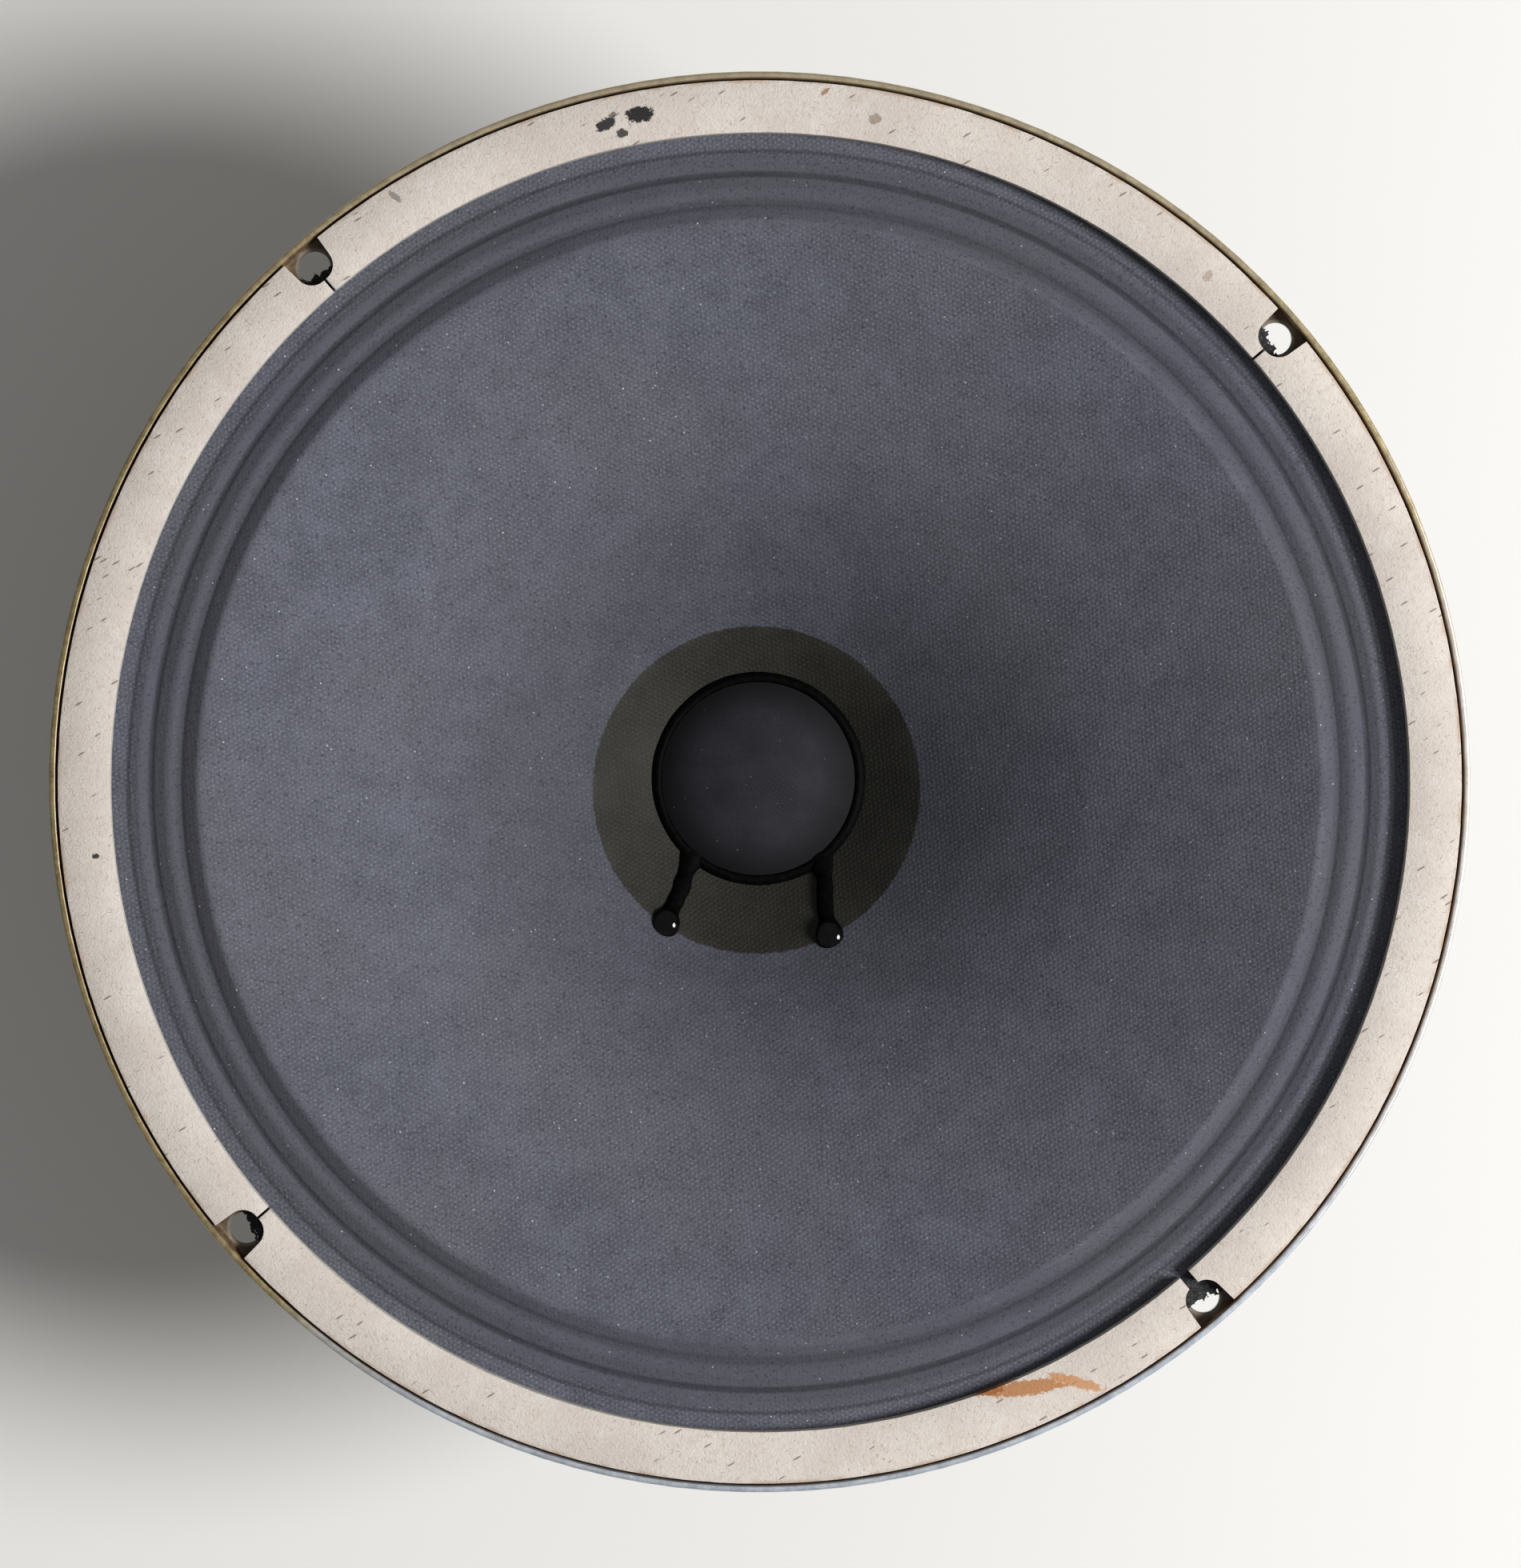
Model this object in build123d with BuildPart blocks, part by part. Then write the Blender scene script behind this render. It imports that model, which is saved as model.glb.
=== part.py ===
from build123d import *
import os
from math import atan2, cos, degrees, hypot, radians, sin, sqrt, tan

os.makedirs("parts", exist_ok=True)

# Cone loudspeaker, about twelve inches across, with a screwed pot magnet.
# The back of the magnet lies on z = 0, the cone faces +Z and the terminals are on the -Y side.
# Sizes are in millimetres.

# Clearances
glue_gap = 0.05  # curved faces that are glued or screwed together
seam_gap = 0.3  # where a flexing piece meets what it is glued to
coil_gap = 0.4  # from the winding out to the plate
pole_gap = 0.35  # from the former in to the pole piece
bolt_gap = 0.25  # around a screw in a clearance hole
gasket_gap = 0.4  # from the gasket out to the rim's lip

# How far the cone moves each way
travel = 3.0

# Pressed steel basket
sheet = 1.6
flange_r = 154.0
flange_width = 16.0
lip_height = 4.0
basket_depth = 73.0  # from the top plate up to the flange's floor
rim_drop = 12.0  # height of the steep wall under the flange
rim_draft = 2.0
ledge_width = 10.0
cup_margin = 4.0  # from the pot's side out to the cup's
cup_height = 16.0  # from the top plate up to the spider's ledge
seat_hole_margin = 3.0
lip_round = 0.6
press_bends = (1.0, 2.5, 8.0, 3.0, 2.4, 2.4)

# Windows and legs of the basket
leg_count = 8
leg_width = 15.0
window_ledge_margin = 6.0
window_rim_margin = 7.0
window_corner = 6.0
land_length = 17.0  # solid land for the terminal board, along the radius
vent_count = 8
vent_r = 4.0

# Mounting holes
bolt_count = 4
bolt_angle = 45.0
bolt_inset = 6.25
bolt_hole_r = 3.5

# Pasteboard gasket in four arcs
gasket_thick = 4.0
gasket_width = 11.3
notch_width = 8.2
notch_margin = 0.35  # from the bolt hole to the notch's inner end
notch_corner = 2.8
joint_gap = 0.5
open_joint_gap = 2.4
open_joint = 3

# Paper cone and its corrugated edge, pressed from one sheet
paper = 0.6
landing_inset = 3.0  # from the lip in to the paper's edge
landing_overhang = 0.7  # how far the flat landing reaches past the flange
bolt_notch_margin = 0.3
# Each flank of the edge, going in: its width and the height where it ends, over the landing
edge_flanks = ((2.4, 0.5), (2.75, -0.5), (3.55, 1.0), (2.9, -0.1), (3.85, 2.1))
edge_rounds = (2.0, 1.6, 0.8, 2.4, 0.8)  # grooves are pressed sharper than ridges
shoulder_round = 1.6
seam_inset = 2.0  # from the shoulder in to where the edge is taken to begin
cone_bow = 3.5
neck_rise = 5.0  # from the spider up to the cone's neck

# Voice coil
former_r = 19.05
former_wall = 0.25
winding_depth = 0.6
former_skirt = 1.5
former_head = 2.5
collar_leg = 3.2

# Dust cap and its bead of cement
cap_r = 23.0
cap_paper = 0.5
cap_rise = 6.0
bead_reach = 1.4
bead_height = 1.0
bead_lap = 1.3

# Spider
cloth = 0.5
spider_margin = 1.0
spider_rim = 7.0
wave_count = 5
wave_height = 1.3
wave_round = 0.8
spider_collar = 3.0
clamp_ring_height = 2.5
clamp_ring_width = 6.5

# Magnet
pot_r = 48.0
pot_height = 48.0
pot_wall = 9.0
pot_floor = 10.0
pot_chamfer = 2.0
plate_thick = 8.0
pole_depth = 10.0  # from the top plate down to the slug
slug_inset = 1.2
pole_chamfer = 0.6
centre_bolt_r = 4.0
centre_bolt_grip = 10.0
bolt_head_r = 7.0
bolt_head_height = 5.0
bolt_head_recess = 0.8

# Basket screws
screw_count = 4
screw_r = 2.45
screw_bite = 10.0
screw_head_r = 4.3
screw_head_height = 3.0
screw_slot = 1.0
screw_slot_depth = 1.2
screw_edge = 4.5  # from the pot's outside in to the screws

# Terminal board, on the land in the window at -Y
board_width = 46.0
board_length = 20.0
board_thick = 1.6
board_corner = 2.0
board_climb = 18.5  # along the wall from the ledge to the board's middle
board_rivet_spread = 14.0
board_rivet_climb = -2.0
rivet_r = 1.5
rivet_head_r = 2.9
rivet_head_height = 0.9
lug_spread = 30.0
lug_width = 5.0
lug_length = 26.0
lug_climb = 6.0
lug_thick = 0.5
lug_hole_r = 1.1
lug_hole_inset = 2.8
lug_rivet_r = 1.2
lug_rivet_head_r = 2.2

# Coil leads: an eyelet through the paper, cement over the front, a tinsel lead behind
eyelet_r_from_axis = 38.7
eyelet_angle = 28.5  # either side of -Y
eyelet_r = 1.1
eyelet_head_r = 1.9
eyelet_head = 0.3
dressing_start_r = 23.0
dressing_start_angles = {"left": 36.0, "right": 42.0}
dressing_width = 3.2
dressing_thick = 0.8
blob_r = 3.3
blob_sink = 1.3
tinsel_r = 0.8
lead_exit = 8.0
lead_entry = 6.0
# Points on a tinsel lead's way: sideways, towards the terminals, up
lead_points = ((20.5, 47.0, 80.5), (19.0, 60.0, 86.0), (17.0, 73.0, 94.5), (15.5, 82.0, 95.5))

# Heights that follow from the sizes above; the coil is longer than its gap by the travel
plate_top = pot_height + plate_thick
seat_top = plate_top + sheet
ledge_top = plate_top + cup_height
floor_z = plate_top + basket_depth
landing_top = floor_z + paper
gasket_top = landing_top + gasket_thick
spider_top = ledge_top + cloth
neck_z = spider_top + neck_rise

# Radii that follow from the sizes above
cup_r = pot_r + cup_margin
ledge_r = cup_r + ledge_width
lip_r = flange_r - sheet
opening_r = flange_r - flange_width
rim_wall_r = opening_r - rim_draft
rim_wall_z = floor_z - rim_drop
bolt_circle_r = flange_r - bolt_inset
gasket_r = lip_r - gasket_gap
gasket_inner_r = gasket_r - gasket_width
former_outer_r = former_r + former_wall
winding_outer_r = former_outer_r + winding_depth
bore_r = winding_outer_r + coil_gap
pole_r = former_r - pole_gap
neck_r = former_outer_r + glue_gap
landing_r = opening_r - landing_overhang
shoulder_r = landing_r - sum(width for width, height in edge_flanks)
shoulder_z = landing_top + edge_flanks[-1][1]
seam_r = shoulder_r - seam_inset
screw_circle_r = pot_r - screw_edge
coil_middle = pot_height + plate_thick / 2
winding_height = plate_thick + travel
slug_height = pot_height - pot_floor - pole_depth


# The cone's front is an arc from the neck to the shoulder, bowed forward
def bowed_arc_centre():
    run = shoulder_r - neck_r
    rise = shoulder_z - neck_z
    chord = hypot(run, rise)
    radius = ((chord / 2) ** 2 + cone_bow**2) / (2 * cone_bow)
    back = radius - cone_bow
    centre_r = (neck_r + shoulder_r) / 2 + back * rise / chord
    centre_z = (neck_z + shoulder_z) / 2 - back * run / chord
    return centre_r, centre_z, radius


arc_centre_r, arc_centre_z, arc_radius = bowed_arc_centre()


# Height of a surface that lies over the cone's front by a given amount
def over_cone(r, lift=0.0):
    return arc_centre_z + sqrt((arc_radius + lift) ** 2 - (r - arc_centre_r) ** 2)


# The cone's slope at a radius, in degrees
def cone_slope(r):
    return degrees(atan2(arc_centre_r - r, over_cone(r) - arc_centre_z))


# Closed region between two surfaces that follow the cone's front
def cone_layer(inner, outer, low, high):
    with BuildPart() as layer:
        with BuildSketch(Plane.XZ):
            with BuildLine():
                middle = (inner + outer) / 2
                ThreePointArc(
                    (inner, over_cone(inner, low)),
                    (middle, over_cone(middle, low)),
                    (outer, over_cone(outer, low)),
                )
                Line((outer, over_cone(outer, low)), (outer, over_cone(outer, high)))
                ThreePointArc(
                    (outer, over_cone(outer, high)),
                    (middle, over_cone(middle, high)),
                    (inner, over_cone(inner, high)),
                )
                Line((inner, over_cone(inner, high)), (inner, over_cone(inner, low)))
            make_face()
        revolve(axis=Axis.Z)
    return layer.part


# The whole paper sheet: cone, corrugated edge and flat landing
def paper_sheet():
    landing_edge = lip_r - landing_inset
    folds = [(landing_edge, landing_top), (landing_r, landing_top)]
    r = landing_r
    for width, height in edge_flanks:
        r = r - width
        folds.append((r, landing_top + height))
    with BuildPart() as paper_part:
        with BuildSketch(Plane.XZ) as profile:
            with BuildLine():
                FilletPolyline(*folds, radius=edge_rounds)
                SagittaArc((shoulder_r, shoulder_z), (neck_r, neck_z), -cone_bow)
                offset(amount=paper, side=Side.LEFT)
            make_face()
            for depth, bend in ((0, shoulder_round), (paper, shoulder_round - paper)):
                corner = profile.vertices().sort_by_distance((shoulder_r, shoulder_z - depth))[0]
                fillet(corner, bend)
        revolve(axis=Axis.Z)
    return paper_part.part


sheet_of_paper = paper_sheet()

# Plane on the outside of the basket's slanted wall, at -Y: its Y runs up the wall, its Z points out
wall_run = rim_wall_r - ledge_r
wall_rise = rim_wall_z - ledge_top
wall_length = hypot(wall_run, wall_rise)
wall_out = (wall_rise / wall_length, -wall_run / wall_length)


# Height of the slanted wall's inner face at a radius
def wall_height(r):
    return ledge_top + (r - ledge_r) * wall_rise / wall_run


board_r = ledge_r + board_climb * wall_run / wall_length + sheet * wall_out[0]
board_z = ledge_top + board_climb * wall_rise / wall_length + sheet * wall_out[1]
board_plane = Plane(
    origin=(0, -board_r, board_z), x_dir=(1, 0, 0), z_dir=(0, -wall_out[0], wall_out[1])
)
board_back = board_plane.offset(glue_gap)
board_face = board_back.offset(board_thick)
lug_face = board_face.offset(lug_thick)
board_rivets = [(-board_rivet_spread / 2, board_rivet_climb), (board_rivet_spread / 2, board_rivet_climb)]
sides = {"left": -1, "right": 1}
lug_rivet_climb = 0.0
window_inner_r = ledge_r + window_ledge_margin
window_outer_r = rim_wall_r - window_rim_margin
land_edge = window_inner_r + land_length
land_half = land_edge * tan(radians(180 / leg_count))

# Basket
with BuildPart() as basket:
    with BuildSketch(Plane.XZ) as basket_profile:
        with BuildLine():
            FilletPolyline(
                (lip_r, floor_z + lip_height),
                (lip_r, floor_z),
                (opening_r, floor_z),
                (rim_wall_r, rim_wall_z),
                (ledge_r, ledge_top),
                (cup_r, ledge_top),
                (cup_r, seat_top),
                (bore_r + seat_hole_margin, seat_top),
                radius=press_bends,
            )
            offset(amount=sheet, side=Side.LEFT)
        make_face()
        fillet(basket_profile.vertices().group_by(Axis.Y)[-1], lip_round)
    revolve(axis=Axis.Z)
    with BuildSketch(Plane.XY.offset(ledge_top)) as windows:
        Circle(window_outer_r)
        Circle(window_inner_r, mode=Mode.SUBTRACT)
        with PolarLocations(0, leg_count, start_angle=180 / leg_count):
            Rectangle(flange_r, leg_width, align=(Align.MIN, Align.CENTER), mode=Mode.SUBTRACT)
        Polygon(
            (0, 0), (-land_half, -land_edge), (land_half, -land_edge), align=None, mode=Mode.SUBTRACT
        )
        fillet(windows.vertices(), window_corner)
    extrude(amount=rim_wall_z - ledge_top, mode=Mode.SUBTRACT)
    with Locations((0, 0, floor_z)):
        with PolarLocations(bolt_circle_r, bolt_count, start_angle=bolt_angle):
            Hole(bolt_hole_r, depth=2 * sheet)
    with Locations((0, 0, seat_top)):
        with PolarLocations(screw_circle_r, screw_count, start_angle=bolt_angle):
            Hole(screw_r + bolt_gap, depth=2 * sheet)
    with Locations((0, 0, (seat_top + ledge_top) / 2)):
        with PolarLocations(cup_r, vent_count):
            Cylinder(vent_r, 4 * sheet, rotation=(0, 90, 0), mode=Mode.SUBTRACT)
    with Locations(board_plane):
        with Locations(*board_rivets):
            Cylinder(rivet_r + glue_gap, 4 * sheet, mode=Mode.SUBTRACT)

# The basket is one pressing, kept as rim, legs and cup that meet face to face: simple shapes to collide with
leg_top = wall_height(window_outer_r - window_corner) - sheet
leg_foot = wall_height(window_inner_r + window_corner)
with BuildPart() as basket_rim:
    add(basket.part)
    split(bisect_by=Plane.XY.offset(leg_top), keep=Keep.TOP)
basket_rim.part.label = "basket_rim"
export_step(basket_rim.part, "parts/basket_rim.step")

with BuildPart() as basket_legs:
    add(basket.part)
    split(bisect_by=Plane.XY.offset(leg_top), keep=Keep.BOTTOM)
    split(bisect_by=Plane.XY.offset(leg_foot), keep=Keep.TOP)
basket_legs.part.label = "basket_legs"
export_step(basket_legs.part, "parts/basket_legs.step")

with BuildPart() as basket_cup:
    add(basket.part)
    split(bisect_by=Plane.XY.offset(leg_foot), keep=Keep.BOTTOM)
basket_cup.part.label = "basket_cup"
export_step(basket_cup.part, "parts/basket_cup.step")

# Gasket: four arcs of pasteboard, notched at the mounting holes
notch_inner_r = bolt_circle_r - bolt_hole_r - notch_margin
notch_length = gasket_r + notch_corner - notch_inner_r + joint_gap
for index in range(bolt_count):
    quarter = 360 / bolt_count
    start = bolt_angle + index * quarter
    with BuildPart() as segment:
        with BuildSketch(Plane.XY.offset(landing_top)) as arc:
            Circle(gasket_r)
            Circle(gasket_inner_r, mode=Mode.SUBTRACT)
            Rectangle(
                flange_r, flange_r, rotation=start, align=(Align.MIN, Align.MIN), mode=Mode.INTERSECT
            )
            for joint in range(bolt_count):
                width = open_joint_gap if joint == open_joint else joint_gap
                with PolarLocations(0, 1, start_angle=bolt_angle + joint * quarter):
                    Rectangle(flange_r, width, align=(Align.MIN, Align.CENTER), mode=Mode.SUBTRACT)
            with PolarLocations(notch_inner_r + notch_length / 2, bolt_count, start_angle=bolt_angle):
                RectangleRounded(notch_length, notch_width, notch_corner, mode=Mode.SUBTRACT)
        extrude(amount=gasket_thick)
    segment.part.label = f"gasket_segment_{index + 1}"
    export_step(segment.part, f"parts/gasket_segment_{index + 1}.step")

# Corrugated edge of the paper, with a notch at each mounting hole
notch_r = bolt_hole_r + bolt_notch_margin
with BuildPart() as surround:
    add(sheet_of_paper)
    with Locations((0, 0, neck_z)):
        Cylinder(seam_r + seam_gap, 2 * (gasket_top - neck_z), mode=Mode.SUBTRACT)
    with BuildSketch(Plane.XY.offset(floor_z - paper)):
        with PolarLocations(bolt_circle_r, bolt_count, start_angle=bolt_angle):
            Circle(notch_r)
            Rectangle(bolt_inset, 2 * notch_r, align=(Align.MIN, Align.CENTER))
    extrude(amount=3 * paper, mode=Mode.SUBTRACT)
surround.part.label = "surround"
export_step(surround.part, "parts/surround.step")

# Eyelets through the cone, each on a plane that touches its front there
eyelet_planes = {}
for side, sign in sides.items():
    angle = radians(-90 + sign * eyelet_angle)
    slope = radians(cone_slope(eyelet_r_from_axis))
    eyelet_planes[side] = Plane(
        origin=(
            eyelet_r_from_axis * cos(angle),
            eyelet_r_from_axis * sin(angle),
            over_cone(eyelet_r_from_axis),
        ),
        z_dir=(-sin(slope) * cos(angle), -sin(slope) * sin(angle), cos(slope)),
    )

# Cone
with BuildPart() as cone:
    add(sheet_of_paper)
    with Locations((0, 0, neck_z)):
        Cylinder(seam_r, 2 * (gasket_top - neck_z), mode=Mode.INTERSECT)
    for plane in eyelet_planes.values():
        with Locations(plane):
            Cylinder(eyelet_r + glue_gap, 6 * paper, mode=Mode.SUBTRACT)
cone.part.label = "cone"
export_step(cone.part, "parts/cone.step")

for side, plane in eyelet_planes.items():
    front = plane.offset(glue_gap)
    back = plane.offset(-paper - glue_gap - eyelet_head)
    with BuildPart() as eyelet:
        with BuildSketch(back):
            Circle(eyelet_head_r)
        extrude(amount=eyelet_head)
        with BuildSketch(back):
            Circle(eyelet_r)
        extrude(amount=paper + 2 * glue_gap + 2 * eyelet_head)
        with BuildSketch(front):
            Circle(eyelet_head_r)
        extrude(amount=eyelet_head)
    eyelet.part.label = f"lead_eyelet_{side}"
    export_step(eyelet.part, f"parts/lead_eyelet_{side}.step")

# Dust cap: a shallow dome that sits on the cone's front
cap_rim_z = over_cone(cap_r, glue_gap) + cap_paper
cap_radius = (cap_r**2 + cap_rise**2) / (2 * cap_rise)
cap_centre_z = cap_rim_z + cap_rise - cap_radius
with BuildPart() as dust_cap:
    with BuildSketch(Plane.XZ):
        with Locations((0, cap_centre_z)):
            Circle(cap_radius)
            Circle(cap_radius - cap_paper, mode=Mode.SUBTRACT)
        with Locations((0, cap_rim_z - cap_paper)):
            Rectangle(
                cap_r, cap_rise + 2 * cap_paper, align=(Align.MIN, Align.MIN), mode=Mode.INTERSECT
            )
    revolve(axis=Axis.Z)
dust_cap.part.label = "dust_cap"
export_step(dust_cap.part, "parts/dust_cap.step")


# Height of the dome's outside at a radius, lifted by the glue
def over_cap(r):
    return cap_centre_z + sqrt((cap_radius + glue_gap) ** 2 - r**2)


# Bead of cement around the cap's edge
bead_outer_r = cap_r + bead_reach
bead_inner_r = cap_r - bead_lap
with BuildPart() as dust_cap_bead:
    with BuildSketch(Plane.XZ):
        with BuildLine():
            Polyline(
                (bead_inner_r, over_cap(bead_inner_r)),
                (cap_r + glue_gap, over_cap(cap_r)),
                (cap_r + glue_gap, over_cone(cap_r + glue_gap, glue_gap)),
                (bead_outer_r, over_cone(bead_outer_r, glue_gap)),
            )
            ThreePointArc(
                (bead_outer_r, over_cone(bead_outer_r, glue_gap)),
                (cap_r + glue_gap, over_cap(cap_r) + bead_height),
                (bead_inner_r, over_cap(bead_inner_r)),
            )
        make_face()
    revolve(axis=Axis.Z)
dust_cap_bead.part.label = "dust_cap_bead"
export_step(dust_cap_bead.part, "parts/dust_cap_bead.step")

# Cement over the coil leads: a strip from the bead and a blob on the eyelet
strip_layer = cone_layer(neck_r, eyelet_r_from_axis + 2 * blob_r, glue_gap, dressing_thick)
blob_space = cone_layer(neck_r, eyelet_r_from_axis + 2 * blob_r, glue_gap, 2 * blob_r)
for side, sign in sides.items():
    start_angle = radians(-90 + sign * dressing_start_angles[side])
    start = Vector(dressing_start_r * cos(start_angle), dressing_start_r * sin(start_angle))
    plane = eyelet_planes[side]
    end = Vector(plane.origin.X, plane.origin.Y)
    heading = end - start
    with BuildPart() as blob:
        with Locations(plane.offset(-blob_sink)):
            Sphere(blob_r)
        add(blob_space, mode=Mode.INTERSECT)
    with BuildPart() as dressing:
        with BuildSketch(Plane.XY.offset(neck_z)):
            with Locations(start + heading / 2):
                SlotCenterToCenter(
                    heading.length, dressing_width, rotation=degrees(atan2(heading.Y, heading.X))
                )
        extrude(amount=gasket_top - neck_z)
        add(strip_layer, mode=Mode.INTERSECT)
        with Locations((0, 0, neck_z)):
            Cylinder(bead_outer_r + glue_gap, 2 * (gasket_top - neck_z), mode=Mode.SUBTRACT)
        add(blob.part)
        with Locations(plane):
            Cylinder(eyelet_head_r + glue_gap, 2 * (eyelet_head + 2 * glue_gap), mode=Mode.SUBTRACT)
    dressing.part.label = f"lead_dressing_{side}"
    export_step(dressing.part, f"parts/lead_dressing_{side}.step")

# Voice coil former
former_foot = coil_middle - winding_height / 2 - former_skirt
with BuildPart() as former:
    with BuildSketch(Plane.XY.offset(former_foot)):
        Circle(former_outer_r)
        Circle(former_r, mode=Mode.SUBTRACT)
    extrude(amount=neck_z + former_head - former_foot)
former.part.label = "voice_coil_former"
export_step(former.part, "parts/voice_coil_former.step")

# Voice coil winding
with BuildPart() as winding:
    with BuildSketch(Plane.XY.offset(coil_middle - winding_height / 2)):
        Circle(winding_outer_r)
        Circle(former_outer_r + glue_gap, mode=Mode.SUBTRACT)
    extrude(amount=winding_height)
winding.part.label = "voice_coil_winding"
export_step(winding.part, "parts/voice_coil_winding.step")

# Fillet of cement behind the cone's neck
collar_r = neck_r + collar_leg
collar_drop = -paper - 2 * glue_gap
with BuildPart() as collar:
    with BuildSketch(Plane.XZ):
        with BuildLine():
            Polyline(
                (neck_r, over_cone(neck_r, collar_drop)),
                (collar_r, over_cone(collar_r, collar_drop)),
                (neck_r + paper, over_cone(neck_r, collar_drop) - paper),
                (neck_r, over_cone(neck_r, collar_drop) - paper),
                close=True,
            )
        make_face()
    revolve(axis=Axis.Z)
collar.part.label = "neck_cement"
export_step(collar.part, "parts/neck_cement.step")

# Spider: corrugated cloth from the former out to the ledge
spider_outer_r = ledge_r - spider_margin
spider_inner_r = former_outer_r + seam_gap + cloth
wave_outer_r = spider_outer_r - spider_rim
pitch = (wave_outer_r - spider_inner_r) / (2 * wave_count + 1)
wave_points = [(spider_inner_r, spider_top + spider_collar), (spider_inner_r, spider_top - wave_height)]
for fold in range(1, 2 * wave_count):
    level = wave_height if fold % 2 else -wave_height
    wave_points.append((spider_inner_r + (fold + 0.5) * pitch, spider_top + level))
wave_points.append((wave_outer_r, spider_top))
wave_points.append((spider_outer_r, spider_top))
with BuildPart() as spider:
    with BuildSketch(Plane.XZ):
        with BuildLine():
            FilletPolyline(*wave_points, radius=wave_round)
            offset(amount=cloth, side=Side.RIGHT)
        make_face()
    revolve(axis=Axis.Z)
spider.part.label = "spider"
export_step(spider.part, "parts/spider.step")

# Card ring that holds the spider's rim down
with BuildPart() as clamp_ring:
    with BuildSketch(Plane.XY.offset(spider_top)):
        Circle(spider_outer_r)
        Circle(spider_outer_r - clamp_ring_width, mode=Mode.SUBTRACT)
    extrude(amount=clamp_ring_height)
clamp_ring.part.label = "spider_clamp_ring"
export_step(clamp_ring.part, "parts/spider_clamp_ring.step")

# Top plate
with BuildPart() as top_plate:
    with BuildSketch(Plane.XY.offset(pot_height)):
        Circle(pot_r)
        Circle(bore_r, mode=Mode.SUBTRACT)
        with PolarLocations(screw_circle_r, screw_count, start_angle=bolt_angle):
            Circle(screw_r + bolt_gap, mode=Mode.SUBTRACT)
    extrude(amount=plate_thick)
    chamfer(top_plate.edges().filter_by(GeomType.CIRCLE).group_by(SortBy.LENGTH)[-1], pole_chamfer)
top_plate.part.label = "top_plate"
export_step(top_plate.part, "parts/top_plate.step")

# Magnet pot, with the centre bolt's head sunk into its floor
head_pocket = bolt_head_height + bolt_head_recess
with BuildPart() as pot:
    with BuildSketch(Plane.XY):
        Circle(pot_r)
    extrude(amount=pot_height)
    chamfer(pot.faces().sort_by(Axis.Z)[0].edges(), pot_chamfer)
    with BuildSketch(Plane.XY.offset(pot_floor)):
        Circle(pot_r - pot_wall)
    extrude(amount=pot_height - pot_floor, mode=Mode.SUBTRACT)
    with BuildSketch(Plane.XY):
        Circle(bolt_head_r + bolt_gap)
    extrude(amount=head_pocket, mode=Mode.SUBTRACT)
    with BuildSketch(Plane.XY):
        Circle(centre_bolt_r + bolt_gap)
    extrude(amount=pot_floor, mode=Mode.SUBTRACT)
    with BuildSketch(Plane.XY.offset(pot_height)):
        with PolarLocations(screw_circle_r, screw_count, start_angle=bolt_angle):
            Circle(screw_r + glue_gap)
    extrude(amount=-screw_bite - bolt_gap, mode=Mode.SUBTRACT)
pot.part.label = "magnet_pot"
export_step(pot.part, "parts/magnet_pot.step")

# Magnet slug
with BuildPart() as slug:
    with BuildSketch(Plane.XY.offset(pot_floor)):
        Circle(pole_r - slug_inset)
        Circle(centre_bolt_r + bolt_gap, mode=Mode.SUBTRACT)
    extrude(amount=slug_height)
slug.part.label = "magnet_slug"
export_step(slug.part, "parts/magnet_slug.step")

# Pole piece, drilled from below for the centre bolt
pole_foot = pot_floor + slug_height
with BuildPart() as pole:
    with BuildSketch(Plane.XY.offset(pole_foot)):
        Circle(pole_r)
    extrude(amount=plate_top - pole_foot)
    chamfer(pole.faces().sort_by(Axis.Z)[-1].edges(), pole_chamfer)
    with BuildSketch(Plane.XY.offset(pole_foot)):
        Circle(centre_bolt_r + glue_gap)
    extrude(amount=centre_bolt_grip + bolt_gap, mode=Mode.SUBTRACT)
pole.part.label = "pole_piece"
export_step(pole.part, "parts/pole_piece.step")

# Centre bolt, from the back of the pot up into the pole piece
with BuildPart() as centre_bolt:
    with BuildSketch(Plane.XY.offset(bolt_head_recess)):
        RegularPolygon(bolt_head_r, 6)
    extrude(amount=bolt_head_height)
    with BuildSketch(Plane.XY.offset(head_pocket)):
        Circle(centre_bolt_r)
    extrude(amount=pole_foot + centre_bolt_grip - head_pocket)
centre_bolt.part.label = "centre_bolt"
export_step(centre_bolt.part, "parts/centre_bolt.step")

# Screws through the basket and the top plate into the pot's wall
with BuildPart() as screws:
    with BuildSketch(Plane.XY.offset(seat_top)):
        with PolarLocations(screw_circle_r, screw_count, start_angle=bolt_angle):
            Circle(screw_head_r)
    extrude(amount=screw_head_height)
    with BuildSketch(Plane.XY.offset(seat_top + screw_head_height)):
        with PolarLocations(screw_circle_r, screw_count, start_angle=bolt_angle):
            Rectangle(2 * screw_head_r, screw_slot)
    extrude(amount=-screw_slot_depth, mode=Mode.SUBTRACT)
    with BuildSketch(Plane.XY.offset(pot_height - screw_bite)):
        with PolarLocations(screw_circle_r, screw_count, start_angle=bolt_angle):
            Circle(screw_r)
    extrude(amount=screw_bite + plate_thick + sheet)
screws.part.label = "basket_screws"
export_step(screws.part, "parts/basket_screws.step")

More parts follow.
